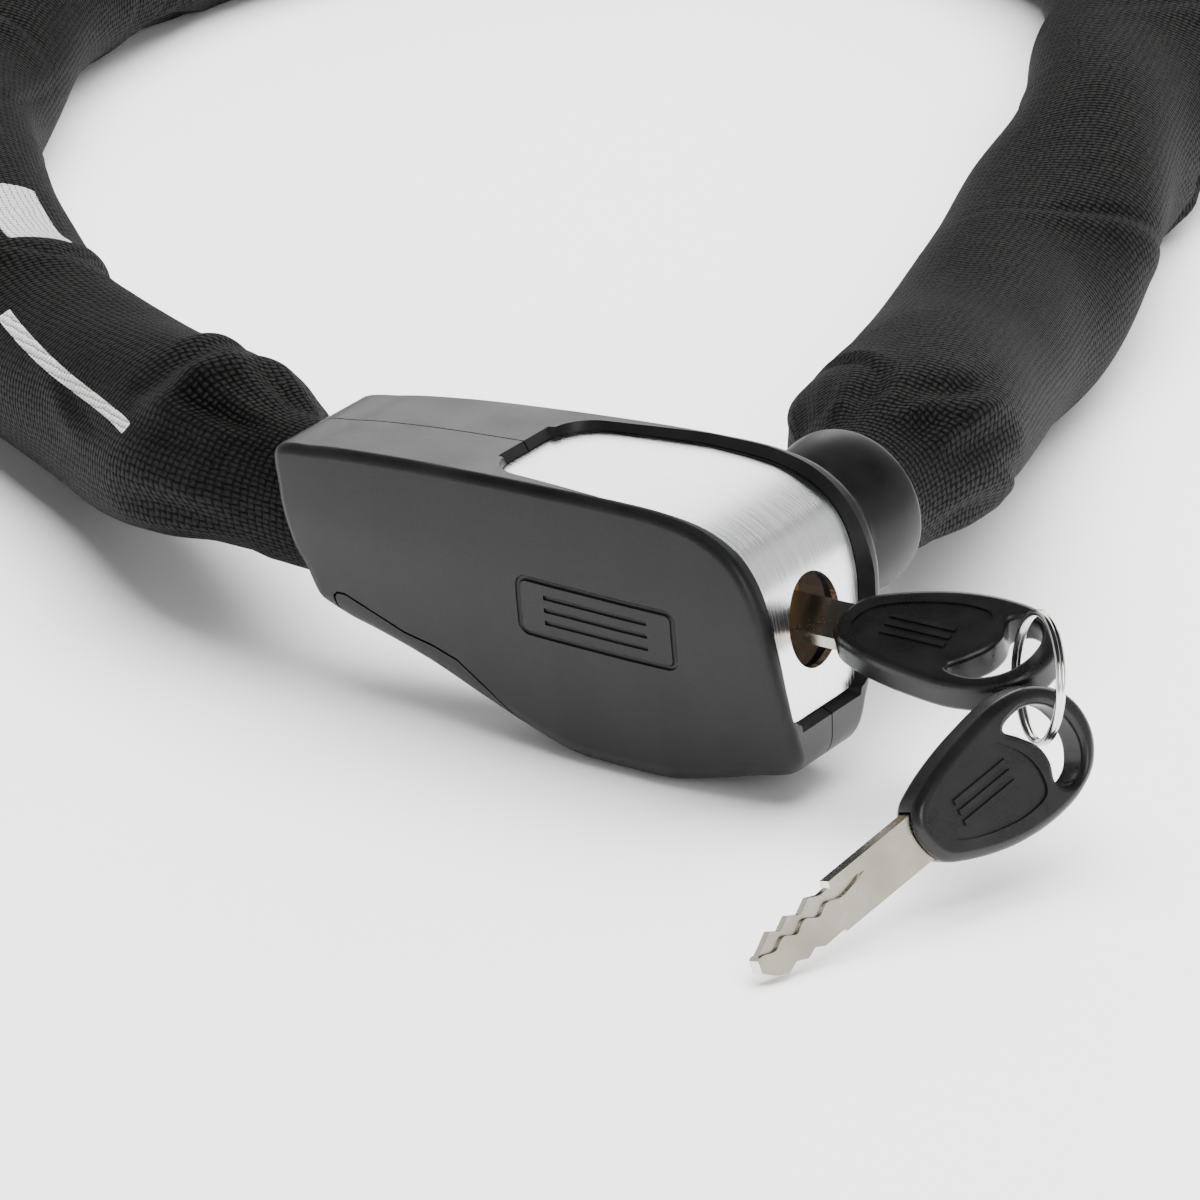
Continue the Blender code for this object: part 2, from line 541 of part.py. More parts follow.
# cam behind the plug: a disc with an off-centre pin, held by a clip ring
CAM_R = LATCH_TRAVEL / math.sqrt(2)
cam = revolve("drive_cam", (0, 0, 0), (1, 0, 0), [(59.3, 5.4), (61.4, 5.4)], 24, STEEL, False)
pin_at = (0, CAM_R * math.cos(math.pi / 4), CAM_R * math.sin(math.pi / 4))
boolean(cam, revolve("c", pin_at, (1, 0, 0), [(54.2, 1.3), (60.0, 1.3)], 12), "UNION")
revolve("cylinder_clip", (0, 0, 0), (1, 0, 0), [(59.6, 5.8), (59.6, 7.9), (60.8, 7.9), (60.8, 5.8), (59.6, 5.8)], 24, STEEL, False)

# latch: a cross plate behind the cam with a level slot, and an arm to the plug's neck
latch = box("latch", (55.2, -4.6, -2.2), (58.0, LATCH_Y[1], LATCH_Z[1]), STEEL, False)
boolean(latch, box("c", (56.5, LATCH_Y[0], LATCH_Z[0]), (89.0, LATCH_Y[1], LATCH_Z[1])), "UNION")
slot_z = pin_at[2]
boolean(latch, prism("c", rounded(3.3, 1.85, 1.8, 4), 50, 62, ((0, 0.9, slot_z), (0, 1, 0), (0, 0, 1), (1, 0, 0))))
boolean(latch, box("c", (50, 7.5, -6), (62, LATCH_Y[0] - 0.0, 6.0)))
boolean(latch, box("c", (50, 7.5, -6), (62, 30, 6.0)))
boolean(latch, revolve("c", (SOCKET_X, 0, SOCKET_Z + LATCH_TRAVEL), (0, 1, 0), [(10, NECK_R + 0.45), (20, NECK_R + 0.45)], 20))
boolean(latch, box("c", (SOCKET_X - NECK_R - 0.45, 10, SOCKET_Z), (SOCKET_X + NECK_R + 0.45, 20, SOCKET_Z + LATCH_TRAVEL)))


SPRING_X, SPRING_Y = 68.7, 13.2
SPRING_Z = (-2.1, LATCH_Z[0] - 0.25)
turns, per = 6, 10
spring_path = []
for k in range(turns * per + 1):
    a = 2 * math.pi * k / per
    spring_path.append((SPRING_X + 1.9 * math.cos(a), SPRING_Y + 1.9 * math.sin(a), SPRING_Z[0] + 0.35 + (SPRING_Z[1] - SPRING_Z[0] - 0.7) * k / (turns * per)))
tube("latch_spring", spring_path, 0.33, 5, STEEL)

revolve("socket_bush", (SOCKET_X, 0, SOCKET_Z), (0, 1, 0), [(16.3, BOLT_R + GAP), (16.3, 7.8), (18.7, 7.8), (18.7, BOLT_R + GAP), (16.3, BOLT_R + GAP)], 28, STEEL, False)

# ---------------------------------------------------------------- chain's route
PIN_Y = 35.5  # the plug's cross pin
ROUTE = smooth_open([
    (ANCHOR_X + 26, 0, ANCHOR_Z), (ANCHOR_X, 0, ANCHOR_Z), (12, 0, ANCHOR_Z), (-3, 0.5, ANCHOR_Z), (-15, 7.2, 0.6), (-31, 17.6, -1.6), (-60.6, 38.0, -8.6), (-92, 60, -13.7), (-122, 82.5, -13.7),
    (-152, 111, -13.7), (-182, 150, -13.7), (-206, 198, -13.7), (-217, 252, -13.7), (-212, 306, -13.7), (-189, 354, -13.7), (-148, 388, -13.7), (-98, 396, -13.7), (-53, 374, -13.7),
    (-19, 333, -13.7), (3, 283, -13.7), (20, 232, -13.7), (38, 177, -13.0), (54.6, 128, -8.4), (67.0, 96, -1.6), (78.2, 66, 4.0), (84.6, 46, 5.3), (SOCKET_X - 0.3, PIN_Y, SOCKET_Z), (SOCKET_X, 24, SOCKET_Z), (SOCKET_X, 10, SOCKET_Z),
], None, 16)
ROUTE_S = np.concatenate([[0], np.cumsum(np.linalg.norm(np.diff(ROUTE, axis=0), axis=1))])


def route(s):
    return np.array([np.interp(s, ROUTE_S, ROUTE[:, k]) for k in range(3)])


def nearest_s(p):
    return ROUTE_S[int(np.argmin(np.linalg.norm(ROUTE - np.asarray(p), axis=1)))]


S_START = nearest_s((ANCHOR_X, 0, ANCHOR_Z))
S_END = nearest_s((SOCKET_X - 0.6, PIN_Y, SOCKET_Z))


def link(name, centre, along, up, wire=LINK_WIRE, inner=LINK_IN, width=LINK_W):
    """A stadium of square wire in the plane of along and up."""
    t = along / np.linalg.norm(along)
    u = up - (up @ t) * t
    u /= np.linalg.norm(u)
    n = np.cross(t, u)
    rm = (width - wire) / 2
    straight = inner / 2 + wire / 2 - rm
    ring = []
    for side in (1, -1):
        for k in range(6):
            a = math.radians(-90 + 36 * k) if side > 0 else math.radians(90 + 36 * k)
            ring.append((np.array([side * straight + rm * math.cos(a), rm * math.sin(a)]), np.array([math.cos(a), math.sin(a)])))
    verts, faces = [], []
    h = wire / 2
    c = 0.9
    sect = [(-h, -h + c), (-h + c, -h), (h - c, -h), (h, -h + c), (h, h - c), (h - c, h), (-h + c, h), (-h, h - c)]
    sect = [(-h, -h), (h, -h), (h, h), (-h, h)]
    for p, o in ring:
        for r, z in sect:
            q = p + o * r
            verts.append(centre + q[0] * t + q[1] * u + z * n)
    m, k4 = len(ring), len(sect)
    for i in range(m):
        j = (i + 1) % m
        for k in range(k4):
            q = (k + 1) % k4
            faces.append((i * k4 + k, i * k4 + q, j * k4 + q, j * k4 + k))
    return mesh_object(name, verts, faces, CHAIN)


# links laid between joints at even steps along the route: the first holds the anchor pin, the last the plug's pin
S_JOIN0 = S_START - 0.5
S_JOIN1 = S_END
STEP = (S_JOIN1 - S_JOIN0 - 2 * (LINK_IN / 2 - 2.6)) / (LINKS - 1)
first = S_JOIN0 + LINK_IN / 2 - 2.6
print("links every %.2f mm, route %.1f mm, slack %.2f" % (STEP, S_END - S_START, LINK_IN - STEP))
for i in range(LINKS):
    s = first + i * STEP
    a, b = route(s - STEP / 2), route(s + STEP / 2)
    c = 0.5 * (a + b)
    if i == 0:
        c = np.array([ANCHOR_X + 3.8 - LINK_IN / 2, 0.4, ANCHOR_Z])
        a, b = c + (10, -0.4, 0), c - (10, -0.4, 0)
    elif i == LINKS - 1:
        p = np.array([SOCKET_X, PIN_Y, SOCKET_Z])
        t = a - p
        t[2] *= 0.8
        t /= np.linalg.norm(t)
        c = p + t * (LINK_IN / 2 - 2.4)
        a, b = c + t, c - t
    t = b - a
    t /= np.linalg.norm(t)
    side = np.cross((0, 0, 1.0), t)
    side /= np.linalg.norm(side)
    up = np.cross(t, side)
    link("chain_link_%02d" % (i + 1), c, t, up if i % 2 == 0 else side)

# plug: head, neck, shank and clevis for the last link
bolt = revolve("end_bolt", (SOCKET_X, 0, SOCKET_Z), (0, 1, 0), [(9.3, BOLT_R - 0.8), (10.0, BOLT_R), (11.7, BOLT_R), (11.7, NECK_R), (15.1, NECK_R), (15.1, BOLT_R), (24.5, BOLT_R), (24.5, 7.4), (27.6, 7.4)], 24, STEEL, False)
boolean(bolt, box("c", (SOCKET_X - 4.4, 26.4, SOCKET_Z - 6.9), (SOCKET_X + 4.4, PIN_Y + 3.4, SOCKET_Z + 6.9)), "UNION")
boolean(bolt, box("c", (SOCKET_X - 12, 25.9, SOCKET_Z - LINK_WIRE / 2 - 0.6), (SOCKET_X + 12, 50, SOCKET_Z + LINK_WIRE / 2 + 0.6)))
boolean(bolt, revolve("c", (SOCKET_X, PIN_Y, SOCKET_Z), (0, 0, 1), [(-12, 2.0 + GAP), (12, 2.0 + GAP)], 14))
revolve("end_pin", (SOCKET_X, PIN_Y, SOCKET_Z), (0, 0, 1), [(-7.3, 1.9), (7.3, 1.9)], 14, STEEL, False)

COLLAR_Y = (20.1, 33.0)
revolve("collar", (SOCKET_X, 0, SOCKET_Z), (0, 1, 0), [
    (COLLAR_Y[0], 5.6), (COLLAR_Y[0], 10.6), (21.6, 12.2), (27.0, COLLAR_R - 0.5), (COLLAR_Y[1] - 0.8, COLLAR_R), (COLLAR_Y[1], COLLAR_R - 0.6), (COLLAR_Y[1], SLEEVE_NECK + 0.95), (28.4, SLEEVE_NECK + 0.95),
    (28.4, 9.6), (24.2, 9.6), (24.2, 5.6), (COLLAR_Y[0], 5.6)], 32, RUBBER, False)

# sleeve: a hollow tube round the links, necked at both ends
SLEEVE_FROM = nearest_s((9.0, 0, ANCHOR_Z))
SLEEVE_TO = nearest_s((SOCKET_X - 0.2, 29.0, SOCKET_Z))
RINGS, AROUND = 58, 12


def sleeve_rings(count):
    """(centre, tangent, half width, half height) of each ring, closer together near the ends."""
    span = SLEEVE_TO - SLEEVE_FROM
    u = np.linspace(0, 1, count)
    u = u - 0.055 * np.sin(2 * math.pi * u)
    out = []
    for q in u:
        s = SLEEVE_FROM + q * span
        near = min(s - SLEEVE_FROM, SLEEVE_TO - s)
        f = np.clip((near - 7) / 34.0, 0, 1)
        f = f * f * (3 - 2 * f)
        hw = SLEEVE_NECK + f * (SLEEVE_HW - SLEEVE_NECK)
        hh = SLEEVE_NECK + f * (SLEEVE_HH - SLEEVE_NECK)
        out.append((route(s), route(s + 3) - route(s - 3), hw, hh))
    return out


def sleeve_mesh(name):
    verts, faces = [], []
    rows = sleeve_rings(RINGS)
    for wall in (0.0, SLEEVE_WALL):
        for c, t, hw, hh in rows:
            t = t / np.linalg.norm(t)
            side = np.cross((0, 0, 1.0), t)
            side /= np.linalg.norm(side)
            up = np.cross(t, side)
            c = c.copy()
            c[2] = max(c[2], Z_FLOOR + hh + 0.15)
            for j in range(AROUND):
                a = 2 * math.pi * (j + 0.5) / AROUND
                k = 1 / math.cos(math.pi / AROUND) ** 0.5
                verts.append(c + (hw - wall) * k * math.cos(a) * side + (hh - wall) * k * math.sin(a) * up)
    n, m = AROUND, RINGS
    for layer in (0, 1):
        base = layer * m * n
        for i in range(m - 1):
            for j in range(n):
                q = (j + 1) % n
                faces.append((base + i * n + j, base + i * n + q, base + (i + 1) * n + q, base + (i + 1) * n + j))
    for i in (0, m - 1):
        for j in range(n):
            q = (j + 1) % n
            faces.append((i * n + j, i * n + q, m * n + i * n + q, m * n + i * n + j))
    return mesh_object(name, verts, faces, WEAVE)


sleeve_mesh("sleeve")

# ---------------------------------------------------------------- keys
# bow outline and loop hole in the key's plane: a along the key from the bow's blade end, w across
BOW_OUT = [(0.2, -2.2), (0.6, 2.2), (2.4, 5.4), (6.0, 7.6), (13.2, 10.4), (19.2, 11.7), (25.5, 12.0), (31.0, 11.2), (35.4, 8.9), (38.0, 4.8), (38.2, -0.2), (36.0, -5.0), (31.2, -8.6), (24.8, -10.0), (16.8, -9.4), (10.2, -8.2), (5.2, -6.7), (1.8, -5.0)]
BOW_HOLE = [(23.0, -5.8), (28.0, -6.6), (32.4, -4.2), (34.6, -0.2), (34.8, 4.4), (32.8, 7.8), (29.6, 8.8), (27.4, 7.0), (28.2, 3.4), (27.6, 0.2), (25.4, -2.8)]
BOW_H = 3.1
RIM_TURNS = 1


def loop_cutter(outline, frame, r):
    """A cutter through the bow that opens out by r at both faces, so that the loop's rim is rounded."""
    o, U, V, W = (np.asarray(q, float) for q in frame)
    turn = [0.5 * math.pi * k / RIM_TURNS for k in range(RIM_TURNS + 1)]
    top = [(BOW_H - r + r * math.sin(t), inset_closed(outline, -r * (1 - math.cos(t)))) for t in turn]
    top.append((BOW_H + 0.8, top[-1][1]))
    levels = [(-h, ring) for h, ring in top[::-1]] + top
    n = len(outline)
    verts = [o + p[0] * U + p[1] * V + h * W for h, ring in levels for p in ring]
    faces = [(i * n + k, i * n + (k + 1) % n, (i + 1) * n + (k + 1) % n, (i + 1) * n + k) for i in range(len(levels) - 1) for k in range(n)]
    faces += [tuple(range(n)), tuple(range((len(levels) - 1) * n, len(levels) * n))]
    return mesh_object("c", verts, faces, ZINC, True)


def key_parts(tag, origin, A, W, H, blade_from=0.6):
    """Bow and blade of one key: A along it from the blade to the loop, W across, H through."""
    o = np.asarray(origin, float)
    frame = (o, A, W, H)
    out = smooth_closed(BOW_OUT, 30)
    bow = prism("key_%s_bow" % tag, out, -BOW_H, BOW_H, frame, BOW, False, 1.7)
    boolean(bow, loop_cutter(smooth_closed(BOW_HOLE, 18), frame, 1.2))
    panel = inset_closed(smooth_closed([(3.4, -1.8), (4.4, 2.2), (8, 4.8), (15, 7.2), (20.6, 8.0), (24.6, 7.2), (25.4, 4.0), (24.6, 0.4), (22.4, -3.0), (19.4, -5.6), (14, -5.8), (7, -4.4)], 22), 0.0)
    for sgn in (1, -1):
        boolean(bow, prism("c", panel, min(sgn * 2.7, sgn * 8), max(sgn * 2.7, sgn * 8), frame))
        slot = [(8, -1.9), (21.5, -1.9), (21.5, 1.9), (8, 1.9)]
        for dw in (-1.6, 0.3, 2.2):
            bar = [(8.5, dw - 0.45), (20.5, dw - 0.45), (20.5, dw + 0.45), (8.5, dw + 0.45)]
            boolean(bow, prism("c", bar, min(sgn * 2.3, sgn * 3.05), max(sgn * 2.3, sgn * 3.05), frame), "UNION")
    boolean(bow, prism("c", [(-5, -BLADE_W / 2 - GAP), (10, -BLADE_W / 2 - GAP), (10, BLADE_W / 2 + GAP), (-5, BLADE_W / 2 + GAP)], -BLADE_T / 2 - GAP, BLADE_T / 2 + GAP, frame))
    h = BLADE_W / 2
    edge = [(9.6, -h), (-17.6, -h), (-18.0, -h + 1.0), (-19.8, -h + 1.1), (-22.0, -h + 0.2), (-24.6, -h + 1.5), (-26.8, -h + 0.3), (-29.2, -h + 1.5), (-31.0, -h + 0.4), (-33.2, -h + 1.6), (-BLADE_L + 0.4, -1.4), (-BLADE_L, 0.6),
            (-33.6, h - 1.6), (-31.6, h - 0.7), (-29.4, h - 1.5), (-27.2, h - 0.6), (-25.2, h - 1.3), (-23.5, h - 0.4), (-BLADE_L * 0.53, h - 0.5), (-BLADE_L * 0.52, h), (9.6, h)]
    blade = prism("key_%s_blade" % tag, edge, -BLADE_T / 2, BLADE_T / 2, frame, NICKEL, False)
    # the wavy side groove milled into both faces, running out to the tip and to the cut edge, with a leaf-shaped tail
    mid = smooth_open([(-11.0, -1.9), (-14.0, -1.2), (-17.0, -0.9), (-19.6, -1.7), (-22.0, -0.7), (-24.6, -1.9), (-27.0, -0.8), (-29.4, -1.9), (-31.8, -0.9), (-34.2, -1.6)], 16)
    milled = [tuple(p) for p in mid] + [(-37.5, -1.9), (-37.5, -h - 3), (-18.3, -h - 3), (-17.9, -3.1), (-14.4, -2.5)]
    for sgn in (1, -1):
        boolean(blade, prism("c", milled, min(sgn * 0.65, sgn * 4), max(sgn * 0.65, sgn * 4), frame))
    return bow, blade


key_parts("1", (BOW_X, 0, 0), np.array([1.0, 0, 0]), KY, KZ)

# split ring through key 1's loop; key 2 leans from the ring to the floor
RING_N = np.array([0.6747, 0.7311, -0.1017])
RING_N /= np.linalg.norm(RING_N)
RING_C = np.array([143.392, -4.109, 1.033])
e1 = np.cross(RING_N, (0, 0, 1.0))
e1 /= np.linalg.norm(e1)
e2 = np.cross(RING_N, e1)
tube("key_ring", [RING_C + RING_R * (math.cos(a) * e1 + math.sin(a) * e2) for a in np.linspace(0, 2 * math.pi, 28, endpoint=False)], RING_WIRE, 8, WIRE, True)
A2 = np.array([0.2382, 0.9192, 0.3136])
A2 /= np.linalg.norm(A2)
W2 = np.array([0.4015, 0.2008, -0.8936])
W2 -= (W2 @ A2) * A2
W2 /= np.linalg.norm(W2)
H2 = np.cross(A2, W2)
O2 = np.array([139.36, -37.11, -15.8])
key_parts("2", O2, A2, W2, H2)

# ---------------------------------------------------------------- moving pieces hang from an empty on their joint's axis
def pivot(name, at, pieces, parent=None):
    """An empty at a world point in metres that carries the pieces without moving them."""
    e = bpy.data.objects.new(name, None)
    e.empty_display_size = 0.01
    e.location = at
    bpy.context.scene.collection.objects.link(e)
    bpy.context.view_layer.update()
    if parent is not None:
        e.parent = parent
        e.matrix_parent_inverse = parent.matrix_world.inverted()
        bpy.context.view_layer.update()
    for piece in pieces:
        ob = bpy.data.objects[piece]
        ob.parent = e
        ob.matrix_parent_inverse = e.matrix_world.inverted()
    return e


turn = pivot("axis_key_turn", put((76, 0, 0)), ["cylinder_plug", "drive_cam"] + ["wafer_%d" % (i + 1) for i in range(4)])
key = pivot("axis_key_withdraw", put((BOW_X, 0, 0)), ["key_1_bow", "key_1_blade"], turn)
swing = pivot("axis_ring_swing", put((142.68, -3.82, -1.57)), ["key_ring"], key)
pivot("axis_key_2_swing", put((147.16, -8.76, -7.35)), ["key_2_bow", "key_2_blade"], swing)
pivot("axis_latch_lift", put((57, 0, 0)), ["latch"])
pivot("axis_plug_pull", put((SOCKET_X, 0, SOCKET_Z)), ["end_bolt", "end_pin", "collar", "chain_link_%02d" % LINKS])
for i in (LINKS - 1, LINKS - 2):
    ob = bpy.data.objects["chain_link_%02d" % i]
    c = sum((v.co for v in ob.data.vertices), ob.data.vertices[0].co * 0.0) / len(ob.data.vertices)
    pivot("axis_link_%d" % i, c, [ob.name])
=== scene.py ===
"""Chain lock scene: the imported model's frame, finer visible surfaces over it, procedural finishes, floor, light and
camera. Lengths in the modelling part are millimetres in the lock's own axes; put() turns them into the row frame."""

import json
import math

import bmesh
import bpy
import numpy as np
from mathutils import Matrix, Vector

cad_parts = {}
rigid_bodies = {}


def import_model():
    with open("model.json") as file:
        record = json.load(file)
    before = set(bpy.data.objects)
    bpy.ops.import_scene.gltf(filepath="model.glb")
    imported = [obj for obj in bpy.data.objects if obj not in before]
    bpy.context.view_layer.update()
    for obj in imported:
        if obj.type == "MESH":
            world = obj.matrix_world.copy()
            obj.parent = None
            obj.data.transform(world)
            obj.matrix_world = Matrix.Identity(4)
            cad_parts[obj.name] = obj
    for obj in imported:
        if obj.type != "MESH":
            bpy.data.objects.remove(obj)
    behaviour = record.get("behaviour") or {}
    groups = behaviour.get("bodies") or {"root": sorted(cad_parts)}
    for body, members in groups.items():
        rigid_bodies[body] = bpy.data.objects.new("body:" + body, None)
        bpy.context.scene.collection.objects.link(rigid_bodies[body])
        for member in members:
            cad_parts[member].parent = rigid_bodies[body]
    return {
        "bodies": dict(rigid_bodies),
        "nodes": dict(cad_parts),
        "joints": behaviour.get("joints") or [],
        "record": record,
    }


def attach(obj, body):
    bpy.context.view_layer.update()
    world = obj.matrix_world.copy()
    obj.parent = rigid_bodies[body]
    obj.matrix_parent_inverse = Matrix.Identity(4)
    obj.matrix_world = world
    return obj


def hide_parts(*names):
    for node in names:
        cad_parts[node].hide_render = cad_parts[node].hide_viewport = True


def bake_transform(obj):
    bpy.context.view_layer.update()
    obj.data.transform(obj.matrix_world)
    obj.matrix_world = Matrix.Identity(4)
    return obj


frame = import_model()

# ---------------------------------------------------------------- finishes
def finish_of(name):
    m = bpy.data.materials.new(name)
    m.use_nodes = True
    nt = m.node_tree
    return m, nt, nt.nodes["Principled BSDF"]


def node(nt, kind, **sockets):
    n = nt.nodes.new(kind)
    for key, value in sockets.items():
        if hasattr(n, key) and not isinstance(value, bpy.types.NodeSocket):
            setattr(n, key, value)
    return n


def math_node(nt, op, a, b=None):
    n = nt.nodes.new("ShaderNodeMath")
    n.operation = op
    for i, v in enumerate((a, b)):
        if v is None:
            continue
        if isinstance(v, (int, float)):
            n.inputs[i].default_value = v
        else:
            nt.links.new(v, n.inputs[i])
    return n.outputs[0]


def noise(nt, vector, scale, detail=3.0, rough=0.55):
    n = nt.nodes.new("ShaderNodeTexNoise")
    n.inputs["Scale"].default_value = scale
    n.inputs["Detail"].default_value = detail
    n.inputs["Roughness"].default_value = rough
    nt.links.new(vector, n.inputs["Vector"])
    return n.outputs["Fac"]


def stretched(nt, sx, sy, sz):
    tc = nt.nodes.new("ShaderNodeTexCoord")
    mp = nt.nodes.new("ShaderNodeMapping")
    mp.inputs["Scale"].default_value = (sx, sy, sz)
    nt.links.new(tc.outputs["Object"], mp.inputs["Vector"])
    return mp.outputs["Vector"]


def ramp(nt, fac, lo, hi, at=(0.3, 0.7)):
    r = nt.nodes.new("ShaderNodeValToRGB")
    r.color_ramp.elements[0].position = at[0]
    r.color_ramp.elements[1].position = at[1]
    r.color_ramp.elements[0].color = (*lo, 1) if isinstance(lo, tuple) else (lo, lo, lo, 1)
    r.color_ramp.elements[1].color = (*hi, 1) if isinstance(hi, tuple) else (hi, hi, hi, 1)
    nt.links.new(fac, r.inputs["Fac"])
    return r.outputs["Color"]


def bump(nt, b, height, strength, distance):
    n = nt.nodes.new("ShaderNodeBump")
    n.inputs["Strength"].default_value = strength
    n.inputs["Distance"].default_value = distance
    nt.links.new(height, n.inputs["Height"])
    nt.links.new(n.outputs["Normal"], b.inputs["Normal"])
    return n


def surface(name, lo, hi, metallic, rough, scale=60.0, grain=2600.0, strength=0.12, distance=0.00006, stretch=(1, 1, 1), specular=None):
    """Mottled colour and roughness with a fine grain; stretch draws the grain out along an axis."""
    m, nt, b = finish_of(name)
    v = stretched(nt, *stretch)
    big = noise(nt, v, scale)
    fine = noise(nt, v, grain, 2.0)
    nt.links.new(ramp(nt, big, lo, hi), b.inputs["Base Color"])
    mixed = math_node(nt, "ADD", math_node(nt, "MULTIPLY", big, 0.6), math_node(nt, "MULTIPLY", fine, 0.4))
    nt.links.new(ramp(nt, mixed, rough[0], rough[1]), b.inputs["Roughness"])
    b.inputs["Metallic"].default_value = metallic
    if specular is not None:
        b.inputs["Specular IOR Level"].default_value = specular
    bump(nt, b, fine, strength, distance)
    return m


SHELL = surface("scene_shell", (0.0034, 0.0034, 0.0036), (0.0062, 0.0062, 0.0065), 0.0, (0.30, 0.42), 90.0, 4200.0, 0.4, 0.00009, (1, 1, 1), 0.24)
RUBBER = surface("scene_rubber", (0.003, 0.003, 0.0032), (0.0055, 0.0055, 0.0057), 0.0, (0.34, 0.44), 140.0, 3200.0, 0.1, 0.00005, (1, 1, 1), 0.26)
BRUSHED = surface("scene_brushed", (0.78, 0.79, 0.81), (0.97, 0.975, 0.98), 1.0, (0.13, 0.34), 1.0, 2.2, 0.3, 0.00004, (9, 4200, 9))
BRASS = surface("scene_brass", (0.50, 0.28, 0.13), (0.70, 0.43, 0.22), 1.0, (0.24, 0.42), 160.0, 2400.0, 0.1, 0.00003)
ZINC = surface("scene_zinc", (0.27, 0.27, 0.28), (0.40, 0.40, 0.41), 1.0, (0.42, 0.62), 220.0, 2400.0, 0.25, 0.00006)
STEEL = surface("scene_steel", (0.42, 0.42, 0.43), (0.58, 0.58, 0.59), 1.0, (0.22, 0.4), 180.0, 2400.0, 0.1, 0.00003)
CHAIN = surface("scene_chain", (0.34, 0.33, 0.31), (0.48, 0.47, 0.45), 1.0, (0.32, 0.5), 120.0, 1600.0, 0.15, 0.00005)
NICKEL = surface("scene_nickel", (0.60, 0.56, 0.46), (0.72, 0.68, 0.58), 1.0, (0.2, 0.3), 70.0, 1500.0, 0.03, 0.00002)
BOW = surface("scene_bow", (0.0034, 0.0034, 0.0037), (0.0058, 0.0058, 0.0062), 0.0, (0.24, 0.36), 160.0, 3600.0, 0.14, 0.00006, (1, 1, 1), 0.34)
WIRE = surface("scene_ring", (0.68, 0.67, 0.65), (0.86, 0.85, 0.83), 1.0, (0.1, 0.24), 240.0, 2000.0, 0.08, 0.00003)

# plain weave: over and under strands from the sleeve's own coordinates, one strand per unit
WEAVE, nt, b = finish_of("scene_weave")
uv = nt.nodes.new("ShaderNodeUVMap")
uv.uv_map = "weave"
split = nt.nodes.new("ShaderNodeSeparateXYZ")
tangle = noise(nt, uv.outputs["UV"], 0.22, 2.0)
wob = nt.nodes.new("ShaderNodeVectorMath")
wob.operation = "SCALE"
nz = nt.nodes.new("ShaderNodeTexNoise")
nz.inputs["Scale"].default_value = 0.35
nt.links.new(uv.outputs["UV"], nz.inputs["Vector"])
nt.links.new(nz.outputs["Color"], wob.inputs[0])
wob.inputs["Scale"].default_value = 0.9
addv = nt.nodes.new("ShaderNodeVectorMath")
addv.operation = "ADD"
nt.links.new(uv.outputs["UV"], addv.inputs[0])
nt.links.new(wob.outputs[0], addv.inputs[1])
nt.links.new(addv.outputs[0], split.inputs[0])
U, Vv = split.outputs["X"], split.outputs["Y"]
fu, fv = math_node(nt, "FRACT", U), math_node(nt, "FRACT", Vv)
par = math_node(nt, "MODULO", math_node(nt, "ADD", math_node(nt, "FLOOR", U), math_node(nt, "FLOOR", Vv)), 2.0)
par = math_node(nt, "GREATER_THAN", math_node(nt, "ABSOLUTE", par), 0.5)
su = math_node(nt, "SINE", math_node(nt, "MULTIPLY", fu, math.pi))
sv = math_node(nt, "SINE", math_node(nt, "MULTIPLY", fv, math.pi))
over = math_node(nt, "MULTIPLY", sv, math_node(nt, "ADD", math_node(nt, "MULTIPLY", su, 0.55), 0.45))
under = math_node(nt, "MULTIPLY", su, math_node(nt, "ADD", math_node(nt, "MULTIPLY", sv, 0.55), 0.45))
inv = math_node(nt, "SUBTRACT", 1.0, par)
height = math_node(nt, "ADD", math_node(nt, "MULTIPLY", over, par), math_node(nt, "MULTIPLY", under, inv))
fibre = noise(nt, uv.outputs["UV"], 9.0, 3.0)
full = math_node(nt, "ADD", height, math_node(nt, "MULTIPLY", fibre, 0.25))
# painted shade and painted highlight: the cloth's colour goes near black in the gaps between strands and lighter on the
# strand crests, mixed with random tone
tone = math_node(nt, "ADD", math_node(nt, "MULTIPLY", height, 0.62), math_node(nt, "MULTIPLY", tangle, 0.38))
cloth = ramp(nt, tone, (0.0003, 0.0003, 0.0003), (0.0125, 0.0122, 0.0114), (0.42, 0.92))
printed = nt.nodes.new("ShaderNodeMix")
printed.data_type = "RGBA"
att = nt.nodes.new("ShaderNodeAttribute")
att.attribute_name = "bar"
cover = math_node(nt, "MULTIPLY", math_node(nt, "GREATER_THAN", math_node(nt, "ADD", att.outputs["Fac"], math_node(nt, "MULTIPLY", fibre, 0.25)), 0.12), math_node(nt, "GREATER_THAN", full, 0.30))
nt.links.new(cover, printed.inputs[0])
nt.links.new(cloth, printed.inputs[6])
printed.inputs[7].default_value = (0.62, 0.62, 0.61, 1)
nt.links.new(printed.outputs[2], b.inputs["Base Color"])
nt.links.new(ramp(nt, fibre, 0.62, 0.85), b.inputs["Roughness"])
b.inputs["Sheen Weight"].default_value = 0.0
b.inputs["Sheen Roughness"].default_value = 0.5
b.inputs["Specular IOR Level"].default_value = 0.12
bump(nt, b, full, 1.0, 0.0008)

